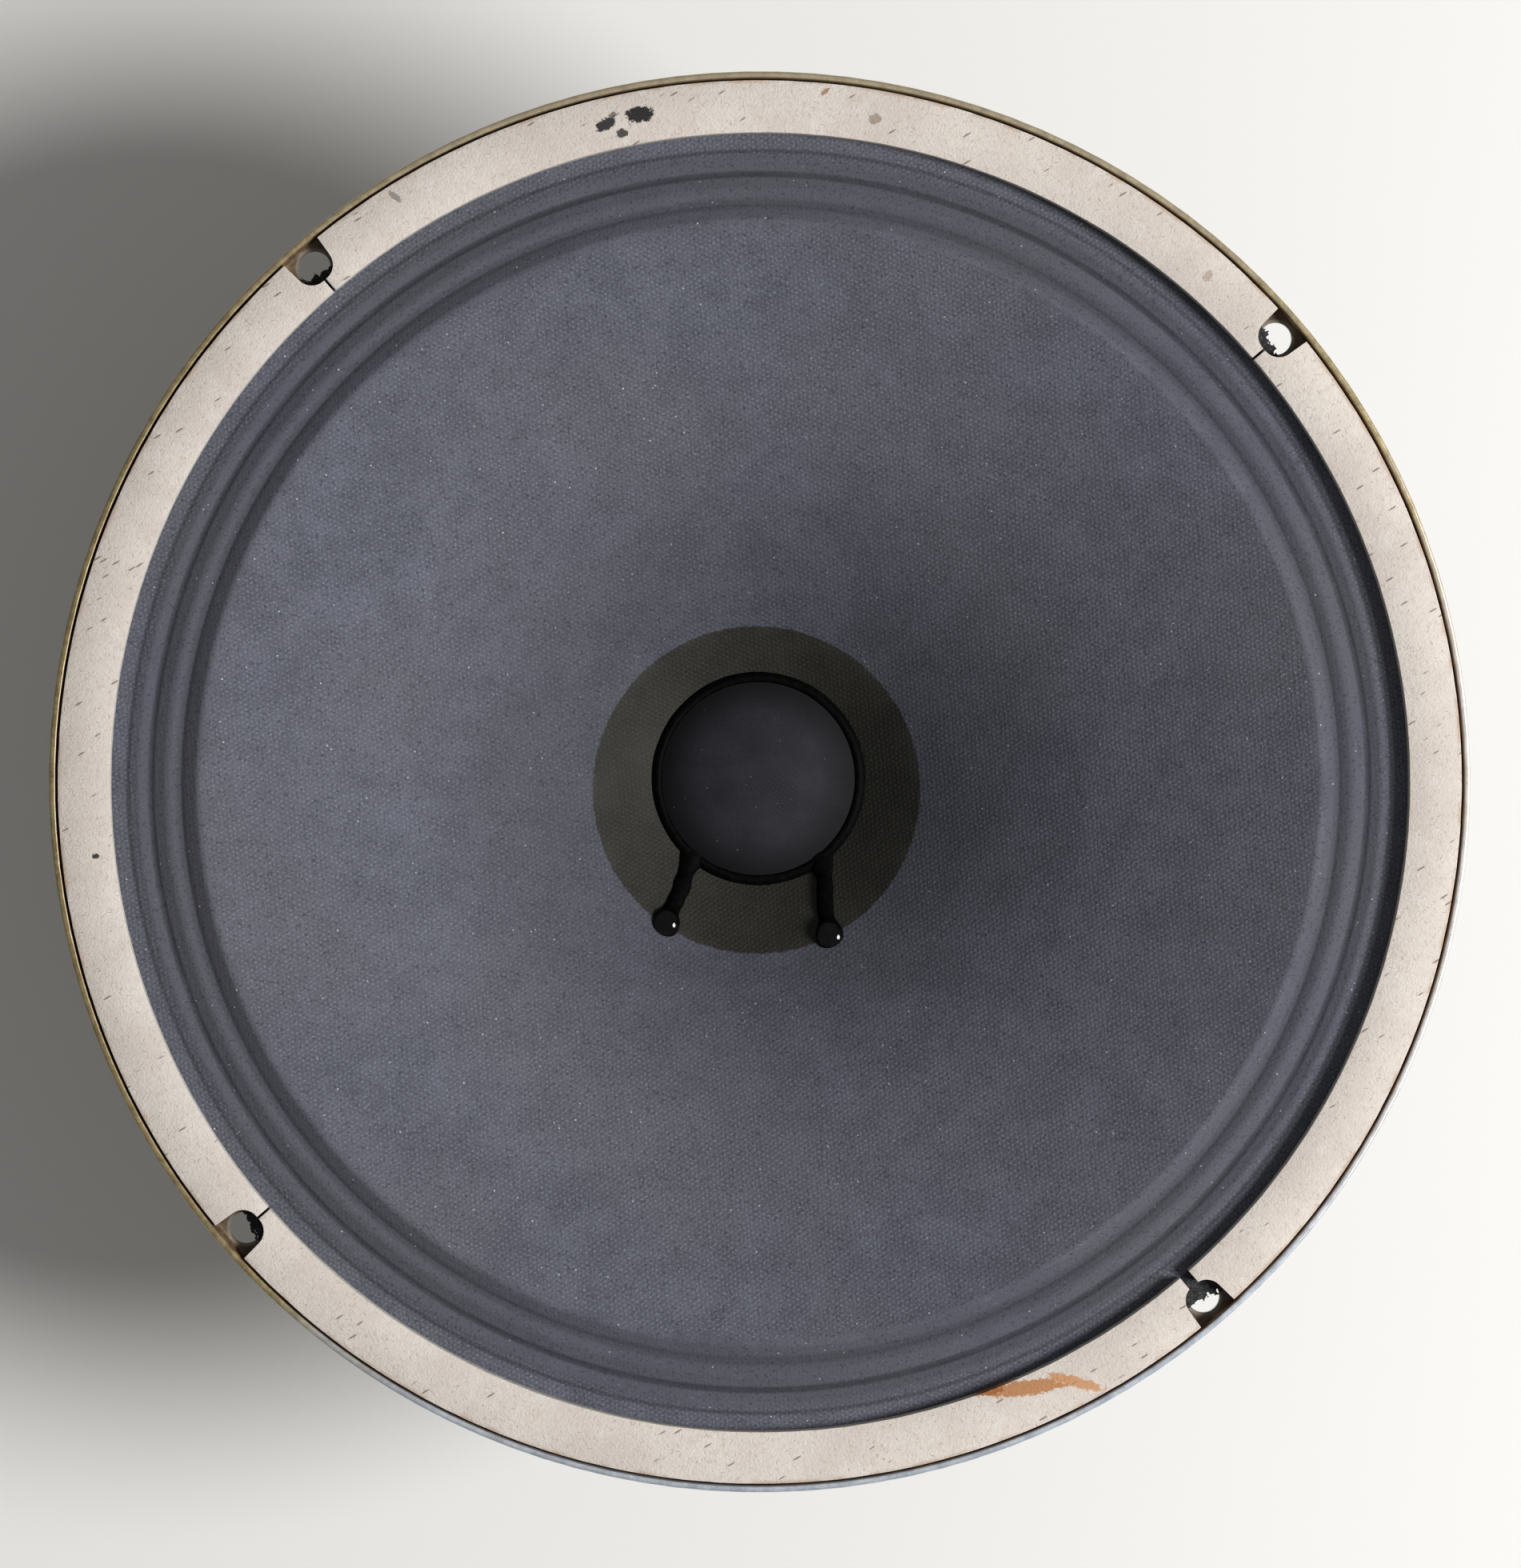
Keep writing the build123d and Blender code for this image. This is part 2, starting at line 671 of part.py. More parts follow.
# Terminal board
lug_places = {side: (sign * lug_spread / 2, lug_rivet_climb) for side, sign in sides.items()}
with BuildPart() as board:
    with BuildSketch(board_back):
        RectangleRounded(board_width, board_length, board_corner)
        with Locations(*board_rivets):
            Circle(rivet_r + glue_gap, mode=Mode.SUBTRACT)
        with Locations(*lug_places.values()):
            Circle(lug_rivet_r + glue_gap, mode=Mode.SUBTRACT)
    extrude(amount=board_thick)
board.part.label = "terminal_board"
export_step(board.part, "parts/terminal_board.step")

# Two rivets that hold the board to the basket
wall_curve = board_r / wall_out[0]
wall_sag = (board_rivet_spread / 2 + rivet_head_r) ** 2 / (2 * wall_curve)
board_grip = sheet + wall_sag + glue_gap + board_thick
with BuildPart() as board_rivet_pair:
    with BuildSketch(board_face):
        with Locations(*board_rivets):
            Circle(rivet_head_r)
    extrude(amount=rivet_head_height)
    with BuildSketch(board_face):
        with Locations(*board_rivets):
            Circle(rivet_r)
    extrude(amount=-board_grip - glue_gap - rivet_head_height)
    with BuildSketch(board_face.offset(-board_grip - glue_gap)):
        with Locations(*board_rivets):
            Circle(rivet_head_r)
    extrude(amount=-rivet_head_height)
board_rivet_pair.part.label = "board_rivets"
export_step(board_rivet_pair.part, "parts/board_rivets.step")

# Solder lugs on the board's outside, reaching past its upper edge into the window
for side, (lug_x, rivet_y) in lug_places.items():
    with BuildPart() as lug:
        with BuildSketch(board_face):
            with Locations((lug_x, lug_climb)):
                SlotOverall(lug_length, lug_width, rotation=90)
            with Locations((lug_x, rivet_y)):
                Circle(lug_rivet_r + glue_gap, mode=Mode.SUBTRACT)
            with Locations((lug_x, lug_climb + lug_length / 2 - lug_hole_inset)):
                Circle(lug_hole_r, mode=Mode.SUBTRACT)
        extrude(amount=lug_thick)
    lug.part.label = f"solder_lug_{side}"
    export_step(lug.part, f"parts/solder_lug_{side}.step")

# Hollow rivets that hold the lugs
lug_grip = board_thick + lug_thick
with BuildPart() as lug_rivets:
    with BuildSketch(lug_face):
        with Locations(*lug_places.values()):
            Circle(lug_rivet_head_r)
    extrude(amount=lug_thick)
    with BuildSketch(lug_face):
        with Locations(*lug_places.values()):
            Circle(lug_rivet_r)
    extrude(amount=-lug_grip)
lug_rivets.part.label = "lug_rivets"
export_step(lug_rivets.part, "parts/lug_rivets.step")


# Arc radii for a route, each as large as its two runs allow
def bend_radii(points):
    radii = []
    for before, here, after in zip(points, points[1:], points[2:]):
        arriving = here - before
        leaving = after - here
        half_turn = radians(arriving.get_angle(leaving)) / 2
        radii.append(0.45 * min(arriving.length, leaving.length) / tan(half_turn))
    return radii


# Tinsel leads, from the eyelets' backs through the window to the lugs' tips
for side, sign in sides.items():
    leaves = eyelet_planes[side].offset(-paper - glue_gap - eyelet_head - seam_gap)
    lug_x = sign * lug_spread / 2
    tip_y = lug_climb + lug_length / 2 - 2 * lug_hole_inset
    arrives = board_face.offset(-glue_gap)
    landing_point = arrives.from_local_coords((lug_x, tip_y, 0))
    above_landing = arrives.offset(-lead_entry).from_local_coords((lug_x, tip_y, 0))
    route = [
        leaves.origin,
        leaves.offset(-lead_exit).origin,
        *(Vector(sign * aside, -ahead, up) for aside, ahead, up in lead_points),
        above_landing,
        landing_point,
    ]
    radii = bend_radii(route)
    print(f"tinsel_lead_{side} bend radii", [round(radius, 1) for radius in radii])
    with BuildPart() as tinsel:
        with BuildLine() as path:
            FilletPolyline(*route, radius=radii)
        with BuildSketch(Plane(origin=path.line @ 0, z_dir=path.line % 0)):
            Circle(tinsel_r)
        sweep(path=path.line)
    tinsel.part.label = f"tinsel_lead_{side}"
    export_step(tinsel.part, f"parts/tinsel_lead_{side}.step")
    print(f"tinsel_lead_{side} length", round(path.wires()[0].length, 1))
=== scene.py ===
import bpy
import bmesh
from math import atan2, cos, degrees, hypot, pi, radians, sin, sqrt
from mathutils import Matrix, Vector, noise


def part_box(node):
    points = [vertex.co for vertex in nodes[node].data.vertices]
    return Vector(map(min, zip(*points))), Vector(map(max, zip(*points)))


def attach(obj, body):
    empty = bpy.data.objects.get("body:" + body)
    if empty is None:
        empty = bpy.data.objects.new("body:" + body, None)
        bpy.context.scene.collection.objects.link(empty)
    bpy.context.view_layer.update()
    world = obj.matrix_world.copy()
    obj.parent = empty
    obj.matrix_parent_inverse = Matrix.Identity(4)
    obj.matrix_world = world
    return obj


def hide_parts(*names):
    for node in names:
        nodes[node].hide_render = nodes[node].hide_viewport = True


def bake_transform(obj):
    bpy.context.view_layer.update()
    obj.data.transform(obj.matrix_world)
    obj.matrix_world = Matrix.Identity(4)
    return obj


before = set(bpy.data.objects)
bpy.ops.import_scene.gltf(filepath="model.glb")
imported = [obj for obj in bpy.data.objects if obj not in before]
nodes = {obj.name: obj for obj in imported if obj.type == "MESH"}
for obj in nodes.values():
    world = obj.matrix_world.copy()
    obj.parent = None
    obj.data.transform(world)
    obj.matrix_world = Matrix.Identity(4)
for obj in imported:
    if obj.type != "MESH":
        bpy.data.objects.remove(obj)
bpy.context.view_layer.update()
mm = 0.001
print("frame loaded:", len(nodes), "nodes")


class Wire:  # one socket in a finish, with arithmetic on it
    def __init__(self, finish, socket):
        self.finish, self.socket = finish, socket

    def __add__(self, other):
        return self.finish.maths("ADD", self, other)

    def __sub__(self, other):
        return self.finish.maths("SUBTRACT", self, other)

    def __mul__(self, other):
        return self.finish.maths("MULTIPLY", self, other)

    def __truediv__(self, other):
        return self.finish.maths("DIVIDE", self, other)

    def __rsub__(self, other):
        return self.finish.maths("SUBTRACT", other, self)

    def __pow__(self, other):
        return self.finish.maths("POWER", self, other)

    __radd__ = __add__
    __rmul__ = __mul__

    def sine(self):
        return self.finish.maths("SINE", self, 0.0)

    def cosine(self):
        return self.finish.maths("COSINE", self, 0.0)

    def size(self):
        return self.finish.maths("ABSOLUTE", self, 0.0)

    def rise(self, low, high):  # 0 below low, 1 above high, smooth between them
        settings = {"interpolation_type": "SMOOTHSTEP"}
        return self.finish.add("ShaderNodeMapRange", settings, {0: self, 1: low, 2: high})

    def fall(self, low, high):
        return 1 - self.rise(low, high)


class Finish:  # a material and its nodes
    def __init__(self, name):
        self.material = bpy.data.materials.new(name)
        self.material.use_nodes = True
        self.tree = self.material.node_tree
        self.tree.nodes.clear()
        self.place = self.add("ShaderNodeTexCoord", out="Object")
        axes = [self.add("ShaderNodeSeparateXYZ", sockets={0: self.place}, out=i) for i in range(3)]
        self.x, self.y, self.z = axes

    def add(self, kind, settings=None, sockets=None, out=0):
        node = self.tree.nodes.new(kind)
        for key, value in (settings or {}).items():
            setattr(node, key, value)
        for key, value in (sockets or {}).items():
            if isinstance(value, Wire):
                self.tree.links.new(value.socket, node.inputs[key])
            else:
                node.inputs[key].default_value = value
        return Wire(self, node.outputs[out])

    def maths(self, operation, a, b):
        return self.add("ShaderNodeMath", {"operation": operation}, {0: a, 1: b})

    def mix(self, factor, a, b):
        return self.add("ShaderNodeMix", {"data_type": "RGBA"}, {0: factor, 6: a, 7: b}, out=2)

    def scaled(self, place, scale, turn=(0, 0, 0), shift=(0, 0, 0)):
        sockets = {"Vector": place, "Scale": scale, "Rotation": turn, "Location": shift}
        return self.add("ShaderNodeMapping", sockets=sockets)

    def cloud(self, pitch, detail=3.0, rough=0.55, place=None):  # soft noise, 0 to 1
        sockets = {"Vector": place or self.place, "Scale": 1 / pitch, "Detail": detail, "Roughness": rough}
        return self.add("ShaderNodeTexNoise", sockets=sockets)

    def cells(self, pitch, random=1.0, place=None, out="Distance"):
        sockets = {"Vector": place or self.place, "Scale": 1 / pitch, "Randomness": random}
        return self.add("ShaderNodeTexVoronoi", sockets=sockets, out=out)

    def radius(self, x=0.0, y=0.0):  # distance from an upright line through x, y
        return ((self.x - x) ** 2.0 + (self.y - y) ** 2.0) ** 0.5

    def ripples(self, along, pitch):  # even waves, 0 to 1
        return (along * (2 * pi / pitch)).sine() * 0.5 + 0.5

    def dots(self, pitch, turn, sways):  # print of a mesh whose holes lie in rows at 60 degrees, 0 to 1
        angles = [radians(turn + step) for step in (0, 60, 120)]
        rows = [((self.x * cos(a) + self.y * sin(a)) * (2 * pi / pitch) + sway).cosine()
                for a, sway in zip(angles, sways)]
        return (rows[0] + rows[1] + rows[2] + 1.5) * (1 / 4.5)

    def channels(self, pitch, detail=2.0):  # three soft noises that don't follow each other
        sockets = {"Vector": self.place, "Scale": 1 / pitch, "Detail": detail}
        colour = self.add("ShaderNodeTexNoise", sockets=sockets, out="Color")
        return [self.add("ShaderNodeSeparateColor", sockets={0: colour}, out=i) for i in range(3)]

    def bump(self, height, distance, strength=1.0, under=None):
        sockets = {"Height": height, "Distance": distance, "Strength": strength}
        if under:
            sockets["Normal"] = under
        return self.add("ShaderNodeBump", sockets=sockets)

    def shade(self, sockets):
        shader = self.add("ShaderNodeBsdfPrincipled", sockets=sockets)
        output = self.tree.nodes.new("ShaderNodeOutputMaterial")
        self.tree.links.new(shader.socket, output.inputs["Surface"])
        return self.material


def tone(red, green, blue):  # a colour as seen on screen, 0 to 255
    def linear(c):
        c = c / 255
        return c / 12.92 if c <= 0.04045 else ((c + 0.055) / 1.055) ** 2.4
    return (linear(red), linear(green), linear(blue), 1.0)


# The photograph: pixel of the axis, metres to a pixel at the rim, and how far it shows the part rolled
view = dict(centreX=949, centreY=980, pitch=0.1731 * mm, roll=radians(4.2))


def spot(px, py):  # a place on the gasket from its pixel in the photograph
    x, y = (px - view["centreX"]) * view["pitch"], (view["centreY"] - py) * view["pitch"]
    return x * cos(view["roll"]) - y * sin(view["roll"]), x * sin(view["roll"]) + y * cos(view["roll"])


def show(name, bm, material, replaced=()):  # a finished mesh as a piece
    mesh = bpy.data.meshes.new(name)
    bm.to_mesh(mesh)
    bm.free()
    mesh.shade_smooth()
    piece = bpy.data.objects.new(name, mesh)
    bpy.context.scene.collection.objects.link(piece)
    mesh.materials.append(material)
    if replaced:
        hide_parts(*replaced)
    return piece


def sharpen(piece, angle):  # edges that turn more than this stay crisp
    piece.data.set_sharp_from_angle(angle=radians(angle))


def spun(bm, steps=288):  # turns the profile in a bmesh round the axis, once
    bmesh.ops.spin(bm, geom=bm.verts[:] + bm.edges[:], cent=(0, 0, 0), axis=(0, 0, 1), angle=2 * pi,
                   steps=steps, use_merge=True)
    bmesh.ops.remove_doubles(bm, verts=bm.verts, dist=1e-6)
    bmesh.ops.recalc_face_normals(bm, faces=bm.faces)


def profile(bm, points, closed=False):  # points are radius and height in millimetres
    corners = [bm.verts.new((r * mm, 0, z * mm)) for r, z in points]
    for a, b in zip(corners, corners[1:] + corners[:1] if closed else corners[1:]):
        bm.edges.new((a, b))
    return corners


def roundCorners(bm, corners, radius, segments=5):
    bmesh.ops.bevel(bm, geom=corners, offset=radius * mm, offset_type="OFFSET", affect="VERTICES",
                    segments=segments, profile=0.5, material=-1)


# Paper: cone, corrugated edge and landing, pressed from one sheet
sheet = dict(paper=0.6, neckR=19.35, neckZ=77.5, bow=3.5, shoulderR=121.85, shoulderZ=131.7,
             landingR=137.3, landingZ=129.6, landingEdge=144.0, landingCuts=3, shoulderRound=0.8,
             shoulderWidth=2.4, arcSteps=44, unevenness=0.16, sag=0.10, edgeR=129, edgeHalf=12)
# Each flank of the edge, going in: width, height where it ends, how far the corner before it is rounded
flanks = ((2.4, 0.5, 0.25), (2.75, -0.5, 0.5), (3.55, 1.0, 0.3), (2.9, -0.1, 1.0), (3.85, 2.1, 0.3))
# Painted shade in each groove of the edge: radius, half width and strength
grooveShadeLines = ((132.1, 1.1, 0.62), (125.7, 1.6, 0.34), (137.1, 0.7, 0.45))
ringSpot = dict(x=-0.3, y=-2.4, r=36.7, soft=0.25, thin=3.0)  # doping, brushed on a little off centre
screen = dict(pitch=0.94, turn=9.2)  # rows of the mesh that the felt was moulded on
neckShade = dict(full=36, none=88, share=0.42)  # painted shade, darker deep in the cone towards the neck


def coneArc():
    run, rise = sheet["shoulderR"] - sheet["neckR"], sheet["shoulderZ"] - sheet["neckZ"]
    chord = hypot(run, rise)
    radius = ((chord / 2) ** 2 + sheet["bow"] ** 2) / (2 * sheet["bow"])
    back = radius - sheet["bow"]
    middle = ((sheet["shoulderR"] + sheet["neckR"]) / 2, (sheet["shoulderZ"] + sheet["neckZ"]) / 2)
    return middle[0] + back * rise / chord, middle[1] - back * run / chord, radius


arcR, arcZ, arcRadius = coneArc()


def overCone(r, lift=0.0):  # height of the cone's front at a radius, in millimetres
    return arcZ + sqrt((arcRadius + lift) ** 2 - (r - arcR) ** 2)


def paperFinish():
    f = Finish("conePaper")
    r = f.radius()
    fibre = f.cloud(0.45 * mm, detail=3.0, rough=0.7)
    mottle = f.cloud(9 * mm, detail=5.0, rough=0.6)
    drift = f.cloud(60 * mm, detail=2.0)
    sways = [wide * 3.0 + narrow * 6.5 for wide, narrow in zip(f.channels(6 * mm), f.channels(1.5 * mm))]
    # the print is faint where the edge is folded
    pressed = r.rise(119 * mm, 123 * mm) * r.fall(134 * mm, 137 * mm)
    mesh = f.dots(screen["pitch"] * mm, screen["turn"], sways) * (1 - pressed * 0.6)
    knots = (mesh * (fibre.rise(0.25, 0.75) * 1.3 + 0.2)).rise(0.25, 1.0)
    slate = f.mix(mottle.rise(0.32, 0.68), tone(77, 78, 87), tone(89, 90, 100))
    slate = f.mix(drift.rise(0.35, 0.65) * 0.5, slate, tone(86, 86, 91))
    slate = f.mix(knots * 0.46, slate, tone(128, 133, 147))
    slate = f.mix(f.cloud(0.7 * mm, detail=2.0).rise(0.52, 0.72) * 0.6, slate, tone(46, 47, 54))
    tips = f.cells(0.62 * mm).fall(0.10, 0.24) * f.cloud(1.8 * mm, detail=2.0).rise(0.50, 0.66)
    slate = f.mix(tips * 0.45, slate, tone(158, 163, 174))
    fluff = f.cells(2.6 * mm, place=f.scaled(f.place, (1, 1, 1), shift=(0.3, 0.1, 0)))
    specks = fluff.fall(0.05, 0.085) * f.cloud(4 * mm, detail=1.0).rise(0.5, 0.58)
    slate = f.mix(specks * 0.8, slate, tone(190, 192, 198))
    grime = r.rise(121.9 * mm, 123.5 * mm) * r.fall(136 * mm, 139 * mm)
    slate = f.mix(grime * mottle.rise(0.25, 0.6) * 0.3, slate, tone(60, 61, 67))
    patchy = mottle.rise(0.2, 0.6) * 0.4 + 0.6
    # painted shade: a dark line along each groove of the edge, patchy
    for middle, half, share in grooveShadeLines:
        near = r.rise((middle - half) * mm, (middle - half / 4) * mm)
        line = near * r.fall((middle + half / 4) * mm, (middle + half) * mm)
        slate = f.mix(line * patchy * share, slate, tone(30, 31, 36))
    # painted shade: the cone darkens towards its neck
    shaded = r.fall(neckShade["full"] * mm, neckShade["none"] * mm) * neckShade["share"]
    slate = f.mix(shaded, slate, tone(30, 30, 35))
    ring = f.radius(ringSpot["x"] * mm, ringSpot["y"] * mm) + (f.cloud(1.6 * mm) - 0.5) * (0.9 * mm)
    doped = ring.fall((ringSpot["r"] - ringSpot["soft"]) * mm, (ringSpot["r"] + ringSpot["soft"]) * mm)
    dope = f.mix(mottle.rise(0.3, 0.7), tone(30, 29, 25), tone(38, 37, 32))
    dope = f.mix(knots * 0.4, dope, tone(64, 63, 57))
    thin = ring.rise((ringSpot["r"] - ringSpot["thin"]) * mm, (ringSpot["r"] + 2 * ringSpot["soft"]) * mm)
    dope = f.mix(thin * mottle.rise(0.45, 0.7) * 0.35, dope, tone(52, 52, 51))
    colour = f.mix(doped, slate, dope)
    relief = f.bump(mesh, 0.20 * mm, 0.35)
    relief = f.bump(fibre, 0.12 * mm, 0.5, under=relief)
    relief = f.bump(mottle, 0.5 * mm, 0.25, under=relief)
    return f.shade({"Base Color": colour, "Roughness": 0.9 - doped * 0.2, "Normal": relief,
                    "Specular IOR Level": 0.22})


paper = paperFinish()


def paperSheet():
    bm = bmesh.new()
    r, z = sheet["landingR"], sheet["landingZ"]
    folds = [(sheet["landingEdge"], z), (r, z)]
    for width, height, soft in flanks:
        r -= width
        folds.append((r, z + height))
    shoulderFoot = sheet["shoulderR"] - sheet["shoulderWidth"]
    folds.append((shoulderFoot, overCone(shoulderFoot)))
    profile(bm, folds)
    reaches = [soft for width, height, soft in flanks] + [sheet["shoulderRound"]]
    for (cornerR, cornerZ), reach in zip(folds[1:-1], reaches):
        corner = min(bm.verts, key=lambda v: hypot(v.co.x - cornerR * mm, v.co.z - cornerZ * mm))
        roundCorners(bm, [corner], reach)
    foot = min(bm.verts, key=lambda v: v.co.x)
    start = atan2(foot.co.z - arcZ * mm, foot.co.x - arcR * mm)
    end = atan2((sheet["neckZ"] - arcZ) * mm, (sheet["neckR"] - arcR) * mm)
    bmesh.ops.spin(bm, geom=[foot], cent=(arcR * mm, 0, arcZ * mm), axis=(0, -1, 0), angle=end - start,
                   steps=sheet["arcSteps"])
    landing = [e for e in bm.edges if min(v.co.x for v in e.verts) > sheet["landingR"] * mm]
    bmesh.ops.subdivide_edges(bm, edges=landing, cuts=sheet["landingCuts"])
    spun(bm)
    if sum(f.normal.z for f in bm.faces) < 0:
        bmesh.ops.reverse_faces(bm, faces=bm.faces)
    for v in bm.verts:  # pressed paper is never quite even
        r = hypot(v.co.x, v.co.y)
        loose = max(0.0, 1 - abs(r / mm - sheet["edgeR"]) / sheet["edgeHalf"])
        swell = noise.noise(v.co * 22) * 0.7 + noise.noise(v.co * 70) * 0.3
        v.co.z += swell * loose * sheet["unevenness"] * mm
    for v in bm.verts[:]:
        v.co.z += noise.noise(v.co * 14) * sheet["sag"] * mm
    bmesh.ops.solidify(bm, geom=bm.faces[:], thickness=sheet["paper"] * mm)
    return show("conePaperSheet", bm, paper, ["cone", "surround"])


def bendByRadius(piece, still, moving):  # bakes the piece's transform; a weight between the two radii is worked out but moves no vertex
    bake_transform(piece)
    for v in piece.data.vertices:
        t = (still - hypot(v.co.x, v.co.y) / mm) / (still - moving)
        t = min(1.0, max(0.0, t))
    return piece


bendByRadius(paperSheet(), still=sheet["landingR"], moving=sheet["shoulderR"])
print("paper sheet made")


# Gasket: four arcs of pasteboard, with a notch round each mounting hole
gasket = dict(outerR=152.0, innerR=140.7, bottom=129.6, top=133.6, joint=0.5, openJoint=2.4, openAt=3,
              notchInnerR=143.85, mouth=9.4, waist=8.0, notchRound=3.4, steps=96, wear=0.09)
holes = dict(r=3.5, circle=147.75, count=4, first=45.0)


def boardFinish():
    f = Finish("gasketBoard")
    r = f.radius()
    top = f.z.rise((gasket["top"] - 0.45) * mm, (gasket["top"] - 0.12) * mm)
    pulp = f.cloud(1.1 * mm, detail=5.0, rough=0.7)
    blotch = f.cloud(16 * mm, detail=4.0)
    face = f.mix(blotch.rise(0.3, 0.7), tone(203, 193, 184), tone(214, 205, 196))
    face = f.mix(pulp.rise(0.45, 0.7) * 0.5, face, tone(189, 177, 167))
    face = f.mix(f.cloud(5 * mm, detail=3.0).rise(0.55, 0.72) * 0.35, face, tone(222, 216, 210))
    for turn, pitch, colour, share in boardFibres:
        turned = f.scaled(f.place, (1, 1, 1), turn=(0, 0, turn), shift=(turn, turn * 0.7, 0))
        drawn = f.scaled(turned, (3.6, 0.75, 1.0))
        seeds = f.cells(pitch * mm, place=drawn)
        pick = f.cells(pitch * mm, place=drawn, out="Color")
        chance = f.add("ShaderNodeSeparateColor", sockets={0: pick}).rise(0.55, 0.6)
        face = f.mix(seeds.fall(0.10, 0.17) * chance * share, face, colour)
    wallTone = f.mix(pulp.rise(0.35, 0.65), tone(172, 170, 162), tone(200, 196, 186))
    inside = r.fall((gasket["innerR"] + 0.7) * mm, (gasket["innerR"] + 1.0) * mm)
    # the notches and the outer rim are soaked with lacquer
    wallTone = f.mix(inside, tone(104, 72, 50), wallTone)
    colour = f.mix(top, wallTone, face)
    stained = f.cloud(7 * mm).rise(0.42, 0.62)
    rimStain = r.rise((gasket["outerR"] - 1.1) * mm, gasket["outerR"] * mm) * stained
    colour = f.mix(rimStain * 0.55, colour, tone(158, 122, 82))
    for px, py, longR, tall, turn, shade, depth in boardMarks:
        x, y = spot(px, py)
        near = f.scaled(f.place, (1, 1, 1), shift=(-x, -y, 0))
        turned = f.scaled(near, (1, 1, 1), turn=(0, 0, -turn - view["roll"]))
        flat = f.scaled(turned, (1 / (longR * mm), 1 / (tall * mm), 0))
        far = f.add("ShaderNodeVectorMath", {"operation": "LENGTH"}, {0: flat}, out="Value")
        far = far + (f.cloud(0.9 * mm, detail=4.0, rough=0.65) - 0.5) * 1.5
        colour = f.mix(far.fall(0.75, 1.0) * depth, colour, shade)
    relief = f.bump(pulp + f.cloud(0.35 * mm, detail=2.0) * 0.5, 0.10 * mm, 0.5)
    wall = f.bump(f.cloud(0.6 * mm, detail=5.0, rough=0.75), 0.5 * mm, 0.6, under=relief)
    return f.shade({"Base Color": colour, "Roughness": 0.92 - top * 0.04, "Normal": wall,
                    "Specular IOR Level": 0.3})


# Fibres in the board: direction, pitch in millimetres, colour and strength
boardFibres = ((0.35, 2.3, tone(150, 118, 92), 0.55),
               (1.5, 2.6, tone(140, 136, 132), 0.5),
               (2.45, 2.4, tone(166, 128, 96), 0.6),
               (0.95, 5.6, tone(92, 78, 68), 0.7),
               (2.9, 2.8, tone(172, 146, 124), 0.6))
# Marks on the board: pixel, half lengths in millimetres, turn, colour and strength
boardMarks = ((756, 158, 2.6, 1.5, 0.5, tone(22, 22, 26), 0.95),
              (776, 168, 1.5, 1.1, 0.0, tone(26, 26, 30), 0.9),
              (798, 145, 3.4, 2.0, 0.15, tone(18, 18, 22), 0.97),
              (764, 146, 1.1, 0.7, 0.8, tone(40, 38, 40), 0.7),
              (1280, 1738, 10.5, 1.9, 0.12, tone(176, 118, 66), 0.9),
              (1345, 1730, 7.0, 1.3, -0.25, tone(190, 134, 84), 0.85),
              (1235, 1742, 4.0, 1.0, 0.1, tone(150, 92, 50), 0.8),
              (118, 1070, 0.9, 0.7, 0.4, tone(30, 26, 24), 0.95),
              (1030, 116, 1.3, 0.6, 0.6, tone(150, 104, 64), 0.8),
              (493, 247, 1.9, 0.8, -0.6, tone(88, 84, 82), 0.6),
              (1092, 150, 1.6, 1.2, 0.2, tone(120, 96, 78), 0.6),
              (1508, 345, 1.5, 0.9, 0.7, tone(152, 118, 100), 0.5),
              (232, 1560, 1.5, 0.5, 0.9, tone(120, 88, 60), 0.6),
              (1655, 1330, 1.2, 0.7, 1.2, tone(140, 112, 88), 0.6))
board = boardFinish()


def boxCutter(points, low, high, rounded=(), radius=0.0):  # a flat outline drawn up into a closed block
    bm = bmesh.new()
    corners = [bm.verts.new((x * mm, y * mm, low * mm)) for x, y in points]
    bm.faces.new(corners)
    if rounded:
        roundCorners(bm, [corners[i] for i in rounded], radius, segments=8)
    drawn = bmesh.ops.extrude_face_region(bm, geom=bm.faces[:])
    tops = [v for v in drawn["geom"] if isinstance(v, bmesh.types.BMVert)]
    bmesh.ops.translate(bm, vec=(0, 0, (high - low) * mm), verts=tops)
    bmesh.ops.recalc_face_normals(bm, faces=bm.faces)
    return bm


def cut(piece, cutter):
    mesh = bpy.data.meshes.new("cutter")
    cutter.to_mesh(mesh)
    cutter.free()
    tool = bpy.data.objects.new("cutter", mesh)
    bpy.context.scene.collection.objects.link(tool)
    modifier = piece.modifiers.new("cut", "BOOLEAN")
    modifier.object, modifier.operation, modifier.solver = tool, "DIFFERENCE", "EXACT"
    done = bpy.data.meshes.new_from_object(piece.evaluated_get(bpy.context.evaluated_depsgraph_get()))
    piece.modifiers.clear()
    piece.data = done
    bpy.data.objects.remove(tool)
    return piece


